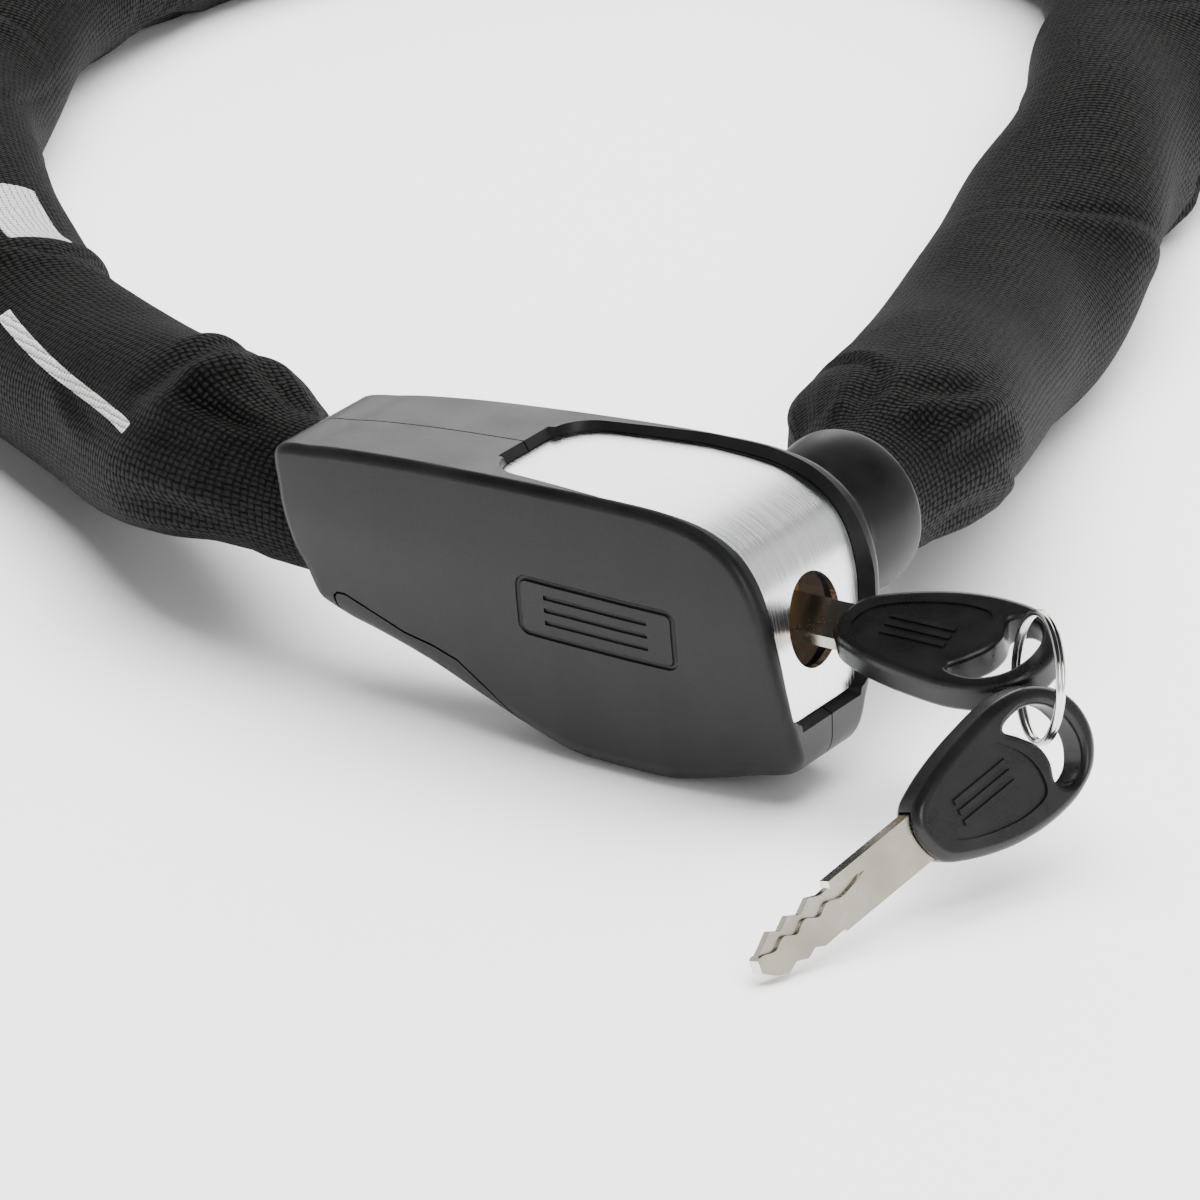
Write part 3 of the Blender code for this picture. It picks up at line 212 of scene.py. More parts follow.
# ---------------------------------------------------------------- driving dimensions (mm)
X_MID = 70.0  # lock's own x at world X = 0
Z_FLOOR = -29.5  # lock's own z at world Z = 0
WALL = 2.4
GAP = 0.3
KEYHOLE_R = 7.8
PLATE_T = 1.2
STATOR_R, STATOR_X = 8.3, (62.0, 92.0)
PLUG_R = 6.2
KEY_ROLL = 22.0  # degrees, how far the key is turned from level at rest
BLADE_W, BLADE_T, BLADE_L = 8.5, 2.5, 36.0
BOW_X = 104.8  # where the bow starts
SOCKET_X, SOCKET_Z = 87.0, 5.5
BOLT_R, NECK_R = 5.2, 3.0
COLLAR_R = 14.0
LINK_W, LINK_WIRE, LINK_IN = 20.6, 5.2, 39.4
LINKS = 28
ANCHOR_X, ANCHOR_Z = 34.0, 1.2
SLEEVE_HW, SLEEVE_HH, SLEEVE_NECK, SLEEVE_WALL = 19.6, 15.6, 12.2, 0.8
RING_R, RING_WIRE = 10.3, 0.95
LATCH_TRAVEL = 3.4


def put(p):
    p = np.asarray(p, float)
    return (p - np.array([X_MID, 0.0, Z_FLOOR])) / 1000.0



def mesh_object(name, verts, faces, mat, hidden=False):
    me = bpy.data.meshes.new("v_" + name)
    me.from_pydata([tuple(v) for v in put(verts)], [], [tuple(f) for f in faces])
    bm = bmesh.new()
    bm.from_mesh(me)
    bmesh.ops.remove_doubles(bm, verts=bm.verts, dist=1e-7)
    bmesh.ops.recalc_face_normals(bm, faces=bm.faces)
    bm.to_mesh(me)
    bm.free()
    ob = bpy.data.objects.new("v_" + name, me)
    bpy.context.scene.collection.objects.link(ob)
    me.materials.append(mat)
    return ob


def smooth(ob, angle=32):
    """Soft shading with edges sharper than this kept."""
    me = ob.data
    me.polygons.foreach_set("use_smooth", [True] * len(me.polygons))
    me.set_sharp_from_angle(angle=math.radians(angle))
    return ob


def wear(ob, width=0.00025, segments=2, angle=40):
    """A small round on every hard edge."""
    m = ob.modifiers.new("round", "BEVEL")
    m.width = width
    m.segments = segments
    m.limit_method = "ANGLE"
    m.angle_limit = math.radians(angle)
    m.harden_normals = False
    m.use_clamp_overlap = True
    return ob


def apply_all(ob):
    """Bakes the modifiers in, so that a later Boolean sees the finished mesh."""
    graph = bpy.context.evaluated_depsgraph_get()
    me = bpy.data.meshes.new_from_object(ob.evaluated_get(graph))
    ob.modifiers.clear()
    ob.data = me
    return ob


def boolean(ob, other, how="DIFFERENCE"):
    m = ob.modifiers.new("cut", "BOOLEAN")
    m.operation = how
    m.solver = "EXACT"
    m.object = other
    apply_all(ob)
    bpy.data.objects.remove(other, do_unlink=True)
    return ob


# ---------------------------------------------------------------- small builders
def box_mesh(lo, hi):
    (x0, y0, z0), (x1, y1, z1) = lo, hi
    v = [(x, y, z) for x in (x0, x1) for y in (y0, y1) for z in (z0, z1)]
    f = [(0, 1, 3, 2), (4, 6, 7, 5), (0, 4, 5, 1), (2, 3, 7, 6), (0, 2, 6, 4), (1, 5, 7, 3)]
    return v, f


def box(name, lo, hi, mat=ZINC, hidden=True):
    return mesh_object(name, *box_mesh(lo, hi), mat, hidden)


def revolve(name, centre, axis, profile, n=24, mat=ZINC, hidden=True, start=0.0):
    """A solid of revolution: profile is (along, radius) pairs from one end to the other; equal ends close it as discs,
    and a profile that returns to its start makes a ring."""
    n = max(3 * n, 72)
    a = np.asarray(axis, float)
    a /= np.linalg.norm(a)
    u = np.cross(a, (0, 0, 1.0)) if abs(a[2]) < 0.9 else np.cross(a, (1.0, 0, 0))
    u /= np.linalg.norm(u)
    w = np.cross(a, u)
    ring = profile[0] == profile[-1]
    rows = profile[:-1] if ring else profile
    verts, faces = [], []
    for t, r in rows:
        for k in range(n):
            ang = start + 2 * math.pi * k / n
            verts.append(np.asarray(centre) + a * t + r * (math.cos(ang) * u + math.sin(ang) * w))
    m = len(rows)
    for i in range(m if ring else m - 1):
        j = (i + 1) % m
        for k in range(n):
            q = (k + 1) % n
            faces.append((i * n + k, i * n + q, j * n + q, j * n + k))
    if not ring:
        faces.append(tuple(range(n)))
        faces.append(tuple(range((m - 1) * n, m * n)))
    return mesh_object(name, verts, faces, mat, hidden)


def prism(name, outline, lo, hi, frame, mat=ZINC, hidden=True, chamfer=0.0):
    """Outline (u, v) points pushed along w from lo to hi, in frame = (origin, U, V, W)."""
    o, U, V, W = (np.asarray(q, float) for q in frame)
    pts = np.asarray(outline, float)
    c = pts.mean(0)
    levels = [(lo, pts), (hi, pts)]
    if chamfer:
        turn = [0.5 * math.pi * k / 7 for k in range(8)]
        rounds = [(chamfer * (1 - math.sin(t)), inset_closed(pts, chamfer * (1 - math.cos(t)))) for t in turn]
        levels = [(lo + h, ring) for h, ring in rounds[::-1]] + [(hi - h, ring) for h, ring in rounds]
    n = len(pts)
    verts = [o + p[0] * U + p[1] * V + h * W for h, ring in levels for p in ring]
    faces = []
    for i in range(len(levels) - 1):
        for k in range(n):
            q = (k + 1) % n
            faces.append((i * n + k, i * n + q, (i + 1) * n + q, (i + 1) * n + k))
    faces.append(tuple(range(n)))
    faces.append(tuple(range((len(levels) - 1) * n, len(levels) * n)))
    return mesh_object(name, verts, faces, mat, hidden)


def inset_closed(pts, d):
    """Each point of a closed outline moved d along its inward normal (d may be a list)."""
    pts = np.asarray(pts, float)
    area = 0.5 * np.sum(pts[:, 0] * np.roll(pts[:, 1], -1) - np.roll(pts[:, 0], -1) * pts[:, 1])
    t = np.roll(pts, -1, 0) - np.roll(pts, 1, 0)
    t /= np.linalg.norm(t, axis=1)[:, None]
    nrm = np.stack([-t[:, 1], t[:, 0]], 1) * (1 if area > 0 else -1)
    return pts + nrm * np.broadcast_to(d, len(pts))[:, None]


def smooth_closed(ctrl, n):
    """A centripetal Catmull-Rom through the control points, cut at n equal steps of length."""
    P = np.asarray(ctrl, float)
    out = []
    m = len(P)
    for i in range(m):
        p0, p1, p2, p3 = P[i - 1], P[i], P[(i + 1) % m], P[(i + 2) % m]
        t0 = 0.0
        t1 = t0 + max(np.linalg.norm(p1 - p0), 1e-6) ** 0.5
        t2 = t1 + max(np.linalg.norm(p2 - p1), 1e-6) ** 0.5
        t3 = t2 + max(np.linalg.norm(p3 - p2), 1e-6) ** 0.5
        for t in np.linspace(t1, t2, 24, endpoint=False):
            a1 = (t1 - t) / (t1 - t0) * p0 + (t - t0) / (t1 - t0) * p1
            a2 = (t2 - t) / (t2 - t1) * p1 + (t - t1) / (t2 - t1) * p2
            a3 = (t3 - t) / (t3 - t2) * p2 + (t - t2) / (t3 - t2) * p3
            b1 = (t2 - t) / (t2 - t0) * a1 + (t - t0) / (t2 - t0) * a2
            b2 = (t3 - t) / (t3 - t1) * a2 + (t - t1) / (t3 - t1) * a3
            out.append((t2 - t) / (t2 - t1) * b1 + (t - t1) / (t2 - t1) * b2)
    out = np.array(out)
    if n is None:
        return out
    seg = np.linalg.norm(np.roll(out, -1, 0) - out, axis=1)
    s = np.concatenate([[0], np.cumsum(seg)])
    closed = np.vstack([out, out[:1]])
    want = np.linspace(0, s[-1], n, endpoint=False)
    return np.stack([np.interp(want, s, closed[:, k]) for k in range(out.shape[1])], 1)


def smooth_open(ctrl, n=None, step=8):
    P = np.asarray(ctrl, float)
    P = np.vstack([2 * P[0] - P[1], P, 2 * P[-1] - P[-2]])
    out = []
    for i in range(1, len(P) - 2):
        p0, p1, p2, p3 = P[i - 1], P[i], P[i + 1], P[i + 2]
        for t in np.linspace(0, 1, step, endpoint=False):
            out.append(0.5 * (2 * p1 + (p2 - p0) * t + (2 * p0 - 5 * p1 + 4 * p2 - p3) * t * t + (3 * p1 - p0 - 3 * p2 + p3) * t**3))
    out.append(P[-2])
    out = np.array(out)
    if n is None:
        return out
    s = np.concatenate([[0], np.cumsum(np.linalg.norm(np.diff(out, axis=0), axis=1))])
    want = np.linspace(0, s[-1], n)
    return np.stack([np.interp(want, s, out[:, k]) for k in range(out.shape[1])], 1)


def tube(name, path, radius, n, mat, closed=False, squash=1.0, hidden=False):
    """A round wire along a path, with frames carried along it; closed joins the ends."""
    P = np.asarray(path, float)
    m = len(P)
    T = np.roll(P, -1, 0) - np.roll(P, 1, 0) if closed else np.gradient(P, axis=0)
    T /= np.linalg.norm(T, axis=1)[:, None]
    u = np.cross(T[0], (0.3, 0.2, 0.9))
    u /= np.linalg.norm(u)
    U = []
    for k in range(m):
        u = u - (u @ T[k]) * T[k]
        u /= np.linalg.norm(u)
        U.append(u)
    verts, faces = [], []
    for k in range(m):
        w = np.cross(T[k], U[k])
        for j in range(n):
            a = 2 * math.pi * (j + 0.5) / n
            verts.append(P[k] + radius * (math.cos(a) * U[k] + squash * math.sin(a) * w))
    for k in range(m if closed else m - 1):
        q = (k + 1) % m
        for j in range(n):
            i = (j + 1) % n
            faces.append((k * n + j, k * n + i, q * n + i, q * n + j))
    if not closed:
        faces += [tuple(range(n)), tuple(range((m - 1) * n, m * n))]
    return mesh_object(name, verts, faces, mat, hidden)


# ---------------------------------------------------------------- lock body
OUTER = [
    (4.2, 14.6), (12, 16.6), (25, 18.2), (42, 19.4), (58, 20.2), (72, 20.6), (82, 20.4), (89.5, 18.9), (95.2, 15.6),
    (98.9, 10.8), (101.2, 4.8), (102.4, -2), (103.0, -9), (103.2, -16), (103.0, -21.2), (101.2, -23.6), (95, -25.4), (87.5, -27.6),
    (80, -29.2), (76, -29.5), (64, -29.5), (58, -28.6), (50, -26.2), (42, -23.2), (32, -19.4), (22, -16.6), (15, -14.9),
    (10.6, -12.6), (8.4, -6.5), (6.2, 1), (4.8, 8),
]
CAVITY = [
    (8.5, 11.6), (14, 14.0), (25, 15.4), (42, 16.6), (58, 17.0), (72, 17.2), (80, 16.9), (87.5, 15.2), (92.4, 12.2), (95.8, 8.2),
    (97.6, 3.0), (98.7, -4), (99.4, -12), (99.2, -18.2), (96.5, -21.8), (87.5, -24.6), (79, -26.4), (65, -26.6), (52, -23.8), (42, -20.2),
    (32, -16.4), (22, -13.7), (15, -12.1), (11.8, -8), (9.5, 2),
]
HALF = np.array([(4, 14.2), (12, 15.2), (25, 16.4), (42, 17.6), (60, 18.7), (75, 19.3), (90, 19.5), (98, 19.2), (104, 18.4)])
DROP = np.array([(4, 9.0), (25, 8.0), (42, 6.4), (60, 5.2), (80, 5.4), (92, 6.8), (104, 8.6)])


def half_width(x, z):
    """Half the body's width at a place on its side."""
    w = np.interp(x, HALF[:, 0], HALF[:, 1])
    k = np.interp(x, DROP[:, 0], DROP[:, 1])
    low = np.clip((6.0 - z) / 29.0, 0, None)
    return w - k * low**1.5 - 0.5 * np.clip((z - 8) / 12, 0, None) ** 2


def corner(outline, top, low, end):
    """The edge radius round the outline: top and front, belly, chin."""
    x, z = outline[:, 0], outline[:, 1]
    r = np.full(len(outline), top)
    belly = (z < -13) & (x < 99)
    r = np.where(belly, low, r)
    r = np.where((z < -13) & (x >= 92), np.interp(x, [92, 100], [low, end]), r)
    r = np.where((z < -4) & (z >= -13) & (x < 30), 0.5 * (low + top), r)
    for _ in range(2):
        r = (np.roll(r, 1) + 2 * r + np.roll(r, -1)) / 4
    return r


SPINE = (np.array([26.0, 1.0]), np.array([84.0, -5.0]))


def body_mesh(ctrl, n, side, top, low, end, steps, shrink=0.0):
    """A closed body between y = -w and y = +w whose outline is ctrl, with rounded edges; side(x, z) gives w."""
    P = smooth_closed(ctrl, n)
    P[:, 1] = np.maximum(P[:, 1], Z_FLOOR)  # the belly's flat
    r = corner(P, top, low, end)
    a, b = SPINE
    d = b - a
    t = np.clip(((P - a) @ d) / (d @ d), 0, 1)
    S = a + t[:, None] * d
    rings = []
    for k in range(steps + 1):
        ang = 0.5 * math.pi * k / steps
        Q = inset_closed(P, r * (1 - math.cos(ang)))
        w = side(Q[:, 0], Q[:, 1]) - shrink
        rings.append((Q, w - r * (1 - math.sin(ang))))
    Q = inset_closed(P, r)
    for f in (0.1, 0.22, 0.36, 0.52, 0.7, 0.88):
        M = Q + f * (S - Q)
        rings.append((M, side(M[:, 0], M[:, 1]) - shrink))
    verts, faces = [], []
    m = len(rings)
    order = [(-1, i) for i in range(m - 1, -1, -1)] + [(1, i) for i in range(m)]
    for sgn, i in order:
        Q, y = rings[i]
        verts += [(Q[k, 0], sgn * y[k], Q[k, 1]) for k in range(n)]
    for i in range(2 * m - 1):
        for k in range(n):
            q = (k + 1) % n
            faces.append((i * n + k, i * n + q, (i + 1) * n + q, (i + 1) * n + k))
    # the two sides are closed by quads across the last ring, from its rear end to its front end
    for base, flip in ((0, False), ((2 * m - 1) * n, True)):
        Q = rings[-1][0]
        lo = int(np.argmin(Q[:, 0]))
        hi = int(np.argmax(Q[:, 0]))
        up = [(lo + j) % n for j in range((hi - lo) % n + 1)]
        dn = [(lo - j) % n for j in range((lo - hi) % n + 1)]
        i = j = 0
        while i < len(up) - 1 or j < len(dn) - 1:
            if j >= len(dn) - 1 or (i < len(up) - 1 and Q[up[i + 1], 0] <= Q[dn[j + 1], 0]):
                f = (up[i], up[i + 1], dn[j])
                i += 1
            else:
                f = (up[i], dn[j + 1], dn[j])
                j += 1
            if len(set(f)) == 3:
                faces.append(tuple(base + q for q in f))
    return verts, faces


# the faceplate's surface, rear to bottom, and its half width
PLATE = smooth_open([(45.6, 18.0), (56, 18.7), (72, 19.0), (82, 18.6), (88.5, 17.3), (93.6, 14.6), (96.9, 10.4), (98.7, 5.2), (99.9, -1), (100.8, -8), (101.4, -14.6)], 241)
PLATE_S = np.concatenate([[0], np.cumsum(np.linalg.norm(np.diff(PLATE, axis=0), axis=1))])
PLATE_LEN = PLATE_S[-1]


def plate_half(s):
    """Half the plate's width along its length: rounded rear, widest at the bend, narrowing to the chin."""
    f = s / PLATE_LEN
    w = np.interp(f, [0, 0.1, 0.3, 0.45, 0.62, 0.78, 0.9, 1.0], [12.0, 13.2, 15.6, 15.6, 14.6, 14.3, 12.6, 10.4])
    rear = 6.0
    w = np.where(s < rear, w - 5.6 * (1 - np.sqrt(np.clip(1 - ((rear - s) / rear) ** 2, 0, 1))), w)
    end = PLATE_LEN - s
    r = 2.5
    return np.where(end < r, w - r * (1 - np.sqrt(np.clip(1 - ((r - end) / r) ** 2, 0, 1))), w)


def plate_point(s, y, off):
    k = np.clip(s, 0, PLATE_LEN)
    x = np.interp(k, PLATE_S, PLATE[:, 0])
    z = np.interp(k, PLATE_S, PLATE[:, 1])
    e = 1.2
    dx = np.interp(min(k + e, PLATE_LEN), PLATE_S, PLATE[:, 0]) - np.interp(max(k - e, 0), PLATE_S, PLATE[:, 0])
    dz = np.interp(min(k + e, PLATE_LEN), PLATE_S, PLATE[:, 1]) - np.interp(max(k - e, 0), PLATE_S, PLATE[:, 1])
    n = math.hypot(dx, dz)
    tx, tz = dx / n, dz / n
    x, z = x + tx * (s - k), z + tz * (s - k)
    return np.array([x - tz * off, y, z + tx * off])


def plate_sheet(levels, stations, cols=5):
    """A curved block over the plate's outline. levels is (offset, growth) from inside to outside."""
    verts, faces = [], []
    ns = len(stations)
    grid = []
    for off, grow in levels:
        rows = []
        for i, s in enumerate(stations):
            f = s / PLATE_LEN
            ss = s + grow * (2 * f - 1) if i in (0, ns - 1) else s
            w = float(plate_half(np.array(s))) + grow
            row = []
            for j in range(cols):
                row.append(len(verts))
                verts.append(plate_point(ss, w * (2 * j / (cols - 1) - 1), off))
            rows.append(row)
        grid.append(rows)
    for rows in (grid[0], grid[-1]):
        for i in range(ns - 1):
            for j in range(cols - 1):
                faces.append((rows[i][j], rows[i][j + 1], rows[i + 1][j + 1], rows[i + 1][j]))
    for a, b in zip(grid, grid[1:]):
        for i in range(ns - 1):
            for j in (0, cols - 1):
                faces.append((a[i][j], a[i + 1][j], b[i + 1][j], b[i][j]))
        for i in (0, ns - 1):
            for j in range(cols - 1):
                faces.append((a[i][j], a[i][j + 1], b[i][j + 1], b[i][j]))
    return verts, faces


def plate_stations(n):
    s = [6.0 * (k / 14) ** 2 for k in range(15)]
    s += list(np.linspace(7, PLATE_LEN - 6, n))
    s += [PLATE_LEN - 2.5 * (k / 10) ** 2 for k in range(12, -1, -1)]
    return [float(q) for q in s]


def profile_prism(name, poly, y0, y1, mat=ZINC, hidden=True):
    return prism(name, poly, y0, y1, ((0, 0, 0), (1, 0, 0), (0, 0, 1), (0, 1, 0)), mat, hidden)


# upper edge of the belly panel, rear to front
CREASE = [(15.4, -9.0), (17.2, -8.8), (28.8, -13.1), (34.6, -14.0), (39.6, -15.5), (45.3, -19.8), (51.4, -25.4), (54.6, -30.0)]

N_BODY = 230


def hollow_body(name):
    ob = mesh_object(name, *body_mesh(OUTER, N_BODY, half_width, 1.8, 4.2, 2.6, 9), SHELL)
    cavity = mesh_object("c", *body_mesh(CAVITY, 36, half_width, 1.0, 3.0, 1.6, 1, WALL), SHELL, True)
    boolean(ob, cavity)
    # rear mouth for the sleeve
    boolean(ob, revolve("c", (0, 0, ANCHOR_Z), (1, 0, 0), [(-5, SLEEVE_NECK + 0.75), (14, SLEEVE_NECK + 0.75)], 28))
    # sloped recess and seat of the faceplate, then the window behind it
    boolean(ob, mesh_object("c", *plate_sheet([(-PLATE_T - GAP, GAP), (0.05, GAP), (2.4, 1.7), (7.5, 2.4)], plate_stations(60)), SHELL, True))
    boolean(ob, mesh_object("c", *plate_sheet([(-6.0, -2.0), (1.0, -2.0)], [s for s in plate_stations(9) if 2.0 < s < PLATE_LEN - 2.0]), SHELL, True))
    return ob


def half(ob, side):
    y = (0.15, 60) if side > 0 else (-60, -0.15)
    return boolean(ob, box("c", (-30, y[0], -60), (140, y[1], 60)), "INTERSECT")


left = hollow_body("left_shell")
belly = mesh_object("belly_cover", *body_mesh(OUTER, N_BODY, half_width, 1.8, 4.2, 2.6, 9), SHELL)
boolean(belly, mesh_object("c", *body_mesh(CAVITY, 36, half_width, 1.0, 3.0, 1.6, 1, WALL), SHELL, True))
boolean(belly, revolve("c", (0, 0, ANCHOR_Z), (1, 0, 0), [(-5, SLEEVE_NECK + 0.75), (14, SLEEVE_NECK + 0.75)], 28))
boolean(belly, profile_prism("c", [(14.9, -10.2), *[(x, z - 0.45) for x, z in CREASE], (54.9, -60), (14.9, -60)], -60, 60), "INTERSECT")
boolean(left, profile_prism("c", [(14.45, -10.0), *CREASE, (55.3, -60), (14.45, -60)], -60, 60))
right = left.copy()
right.data = left.data.copy()
right.name = right.data.name = "right_shell"
bpy.context.scene.collection.objects.link(right)
half(left, -1)
half(right, 1)
# the plug's socket in the right shell
boolean(right, revolve("c", (SOCKET_X, 0, SOCKET_Z), (0, 1, 0), [(10, BOLT_R + 3.1), (40, BOLT_R + 3.1)], 28))

# screw seats: heads in the right shell, tips in bosses of the left one
SCREWS = ((47.6, -14.6), (48.2, 11.8))
for x, z in SCREWS:
    w = float(half_width(x, z))
    boolean(right, revolve("c", (x, 0, z), (0, 1, 0), [(w - 1.3, 3.0), (w + 5, 3.0)], 16))
    boolean(right, revolve("c", (x, 0, z), (0, 1, 0), [(w - 8, 1.8), (w + 5, 1.8)], 12))
    boolean(left, revolve("c", (x, 0, z), (0, 1, 0), [(-w + 1.2, 3.4), (-w + 7.5, 3.4)], 12), "UNION")
    boolean(left, revolve("c", (x, 0, z), (0, 1, 0), [(-w + 2.6, 1.45), (-w + 9, 1.45)], 10))

# grip field on the near side: a plain outline and three plain lines cut into the face
def rounded(w, h, r, n=4):
    pts = []
    for cx, cy, a0 in ((w - r, h - r, 0), (-w + r, h - r, 90), (-w + r, -h + r, 180), (w - r, -h + r, 270)):
        for k in range(n + 1):
            a = math.radians(a0 + 90 * k / n)
            pts.append((cx + r * math.cos(a), cy + r * math.sin(a)))
    return pts


FIELD_X, FIELD_Z = 69.5, -0.8
GROOVE_SIDES = 16


def on_side(u, v):
    """The place on the left shell's outer face that lies u along and v above the field's middle."""
    x, z = FIELD_X + u, FIELD_Z + v
    return np.array([x, -float(half_width(x, z)), z])


def groove(line, r, closed):
    boolean(left, tube("c", [on_side(u, v) for u, v in line], r, GROOVE_SIDES, SHELL, closed, 1.0, True))


def steps(line, n):
    P = np.asarray(line, float)
    d = np.concatenate([[0], np.cumsum(np.linalg.norm(np.diff(P, axis=0), axis=1))])
    w = np.linspace(0, d[-1], n)
    return np.stack([np.interp(w, d, P[:, k]) for k in (0, 1)], 1)


field_line = rounded(15.0, 5.0, 1.6, 8)
field_line = [(1 - k / 12) * np.array(field_line[i]) + k / 12 * np.array(field_line[(i + 1) % len(field_line)]) for i in range(len(field_line)) for k in range(12 if np.hypot(*(np.array(field_line[i]) - field_line[(i + 1) % len(field_line)])) > 2 else 1)]
groove(field_line, 0.5, True)
for dv in (-2.3, 0.0, 2.3):
    groove(steps([(-10.0, dv), (10.0, dv)], 24), 0.42, False)

plate = mesh_object("faceplate", *plate_sheet([(-PLATE_T, 0.0), (0.0, 0.0)], plate_stations(90), 25), BRUSHED)
boolean(plate, revolve("c", (0, 0, 0), (1, 0, 0), [(90, KEYHOLE_R), (110, KEYHOLE_R)], 32))


V = {"left_shell": left, "right_shell": right, "belly_cover": belly, "faceplate": plate}

# ---------------------------------------------------------------- cylinder
ROLL = math.radians(KEY_ROLL)
KY = np.array([0, math.cos(ROLL), math.sin(ROLL)])  # across the blade
KZ = np.array([0, -math.sin(ROLL), math.cos(ROLL)])  # through the blade
KEY_FRAME = (np.zeros(3), np.array([1.0, 0, 0]), KY, KZ)

V["cylinder_housing"] = revolve("cylinder_housing", (0, 0, 0), (1, 0, 0), [(62.0, PLUG_R + GAP), (62.0, STATOR_R), (92.0, STATOR_R), (92.0, PLUG_R + GAP), (62.0, PLUG_R + GAP)], 32, BRASS, False)
plug = revolve("cylinder_plug", (0, 0, 0), (1, 0, 0), [(61.7, PLUG_R), (92.2, PLUG_R)], 32, BRASS, False)
boolean(plug, prism("c", [(64.5, -4.55), (95, -4.55), (95, 4.55), (64.5, 4.55)], -1.6, 1.6, KEY_FRAME))
WAFERS = (72.0, 76.5, 81.0, 85.5)
for x in WAFERS[:0]:
    boolean(plug, prism("c", [(x - 0.9, -5.2), (x + 0.9, -5.2), (x + 0.9, 5.2), (x - 0.9, 5.2)], -2.9, 2.9, KEY_FRAME))
V["cylinder_plug"] = plug


# ---------------------------------------------------------------- chain's route
PIN_Y = 35.5  # the plug's cross pin
ROUTE = smooth_open([
    (ANCHOR_X + 26, 0, ANCHOR_Z), (ANCHOR_X, 0, ANCHOR_Z), (12, 0, ANCHOR_Z), (-3, 0.5, ANCHOR_Z), (-15, 7.2, 0.6), (-31, 17.6, -1.6), (-60.6, 38.0, -8.6), (-92, 60, -13.7), (-122, 82.5, -13.7),
    (-152, 111, -13.7), (-182, 150, -13.7), (-206, 198, -13.7), (-217, 252, -13.7), (-212, 306, -13.7), (-189, 354, -13.7), (-148, 388, -13.7), (-98, 396, -13.7), (-53, 374, -13.7),
    (-19, 333, -13.7), (3, 283, -13.7), (20, 232, -13.7), (38, 177, -13.0), (54.6, 128, -8.4), (67.0, 96, -1.6), (78.2, 66, 4.0), (84.6, 46, 5.3), (SOCKET_X - 0.3, PIN_Y, SOCKET_Z), (SOCKET_X, 24, SOCKET_Z), (SOCKET_X, 10, SOCKET_Z),
], None, 48)
ROUTE_S = np.concatenate([[0], np.cumsum(np.linalg.norm(np.diff(ROUTE, axis=0), axis=1))])


def route(s):
    return np.array([np.interp(s, ROUTE_S, ROUTE[:, k]) for k in range(3)])


def nearest_s(p):
    return ROUTE_S[int(np.argmin(np.linalg.norm(ROUTE - np.asarray(p), axis=1)))]


S_START = nearest_s((ANCHOR_X, 0, ANCHOR_Z))
S_END = nearest_s((SOCKET_X - 0.6, PIN_Y, SOCKET_Z))


# ---------------------------------------------------------------- keys
# bow outline and loop hole in the key's plane: a along the key from the bow's blade end, w across
BOW_OUT = [(0.2, -2.2), (0.6, 2.2), (2.4, 5.4), (6.0, 7.6), (13.2, 10.4), (19.2, 11.7), (25.5, 12.0), (31.0, 11.2), (35.4, 8.9), (38.0, 4.8), (38.2, -0.2), (36.0, -5.0), (31.2, -8.6), (24.8, -10.0), (16.8, -9.4), (10.2, -8.2), (5.2, -6.7), (1.8, -5.0)]
BOW_HOLE = [(23.0, -5.8), (28.0, -6.6), (32.4, -4.2), (34.6, -0.2), (34.8, 4.4), (32.8, 7.8), (29.6, 8.8), (27.4, 7.0), (28.2, 3.4), (27.6, 0.2), (25.4, -2.8)]
BOW_H = 3.1
RIM_TURNS = 8


def loop_cutter(outline, frame, r):
    """A cutter through the bow that opens out by r at both faces, so that the loop's rim is rounded."""
    o, U, V, W = (np.asarray(q, float) for q in frame)
    turn = [0.5 * math.pi * k / RIM_TURNS for k in range(RIM_TURNS + 1)]
    top = [(BOW_H - r + r * math.sin(t), inset_closed(outline, -r * (1 - math.cos(t)))) for t in turn]
    top.append((BOW_H + 0.8, top[-1][1]))
    levels = [(-h, ring) for h, ring in top[::-1]] + top
    n = len(outline)
    verts = [o + p[0] * U + p[1] * V + h * W for h, ring in levels for p in ring]
    faces = [(i * n + k, i * n + (k + 1) % n, (i + 1) * n + (k + 1) % n, (i + 1) * n + k) for i in range(len(levels) - 1) for k in range(n)]
    faces += [tuple(range(n)), tuple(range((len(levels) - 1) * n, len(levels) * n))]
    return mesh_object("c", verts, faces, ZINC, True)


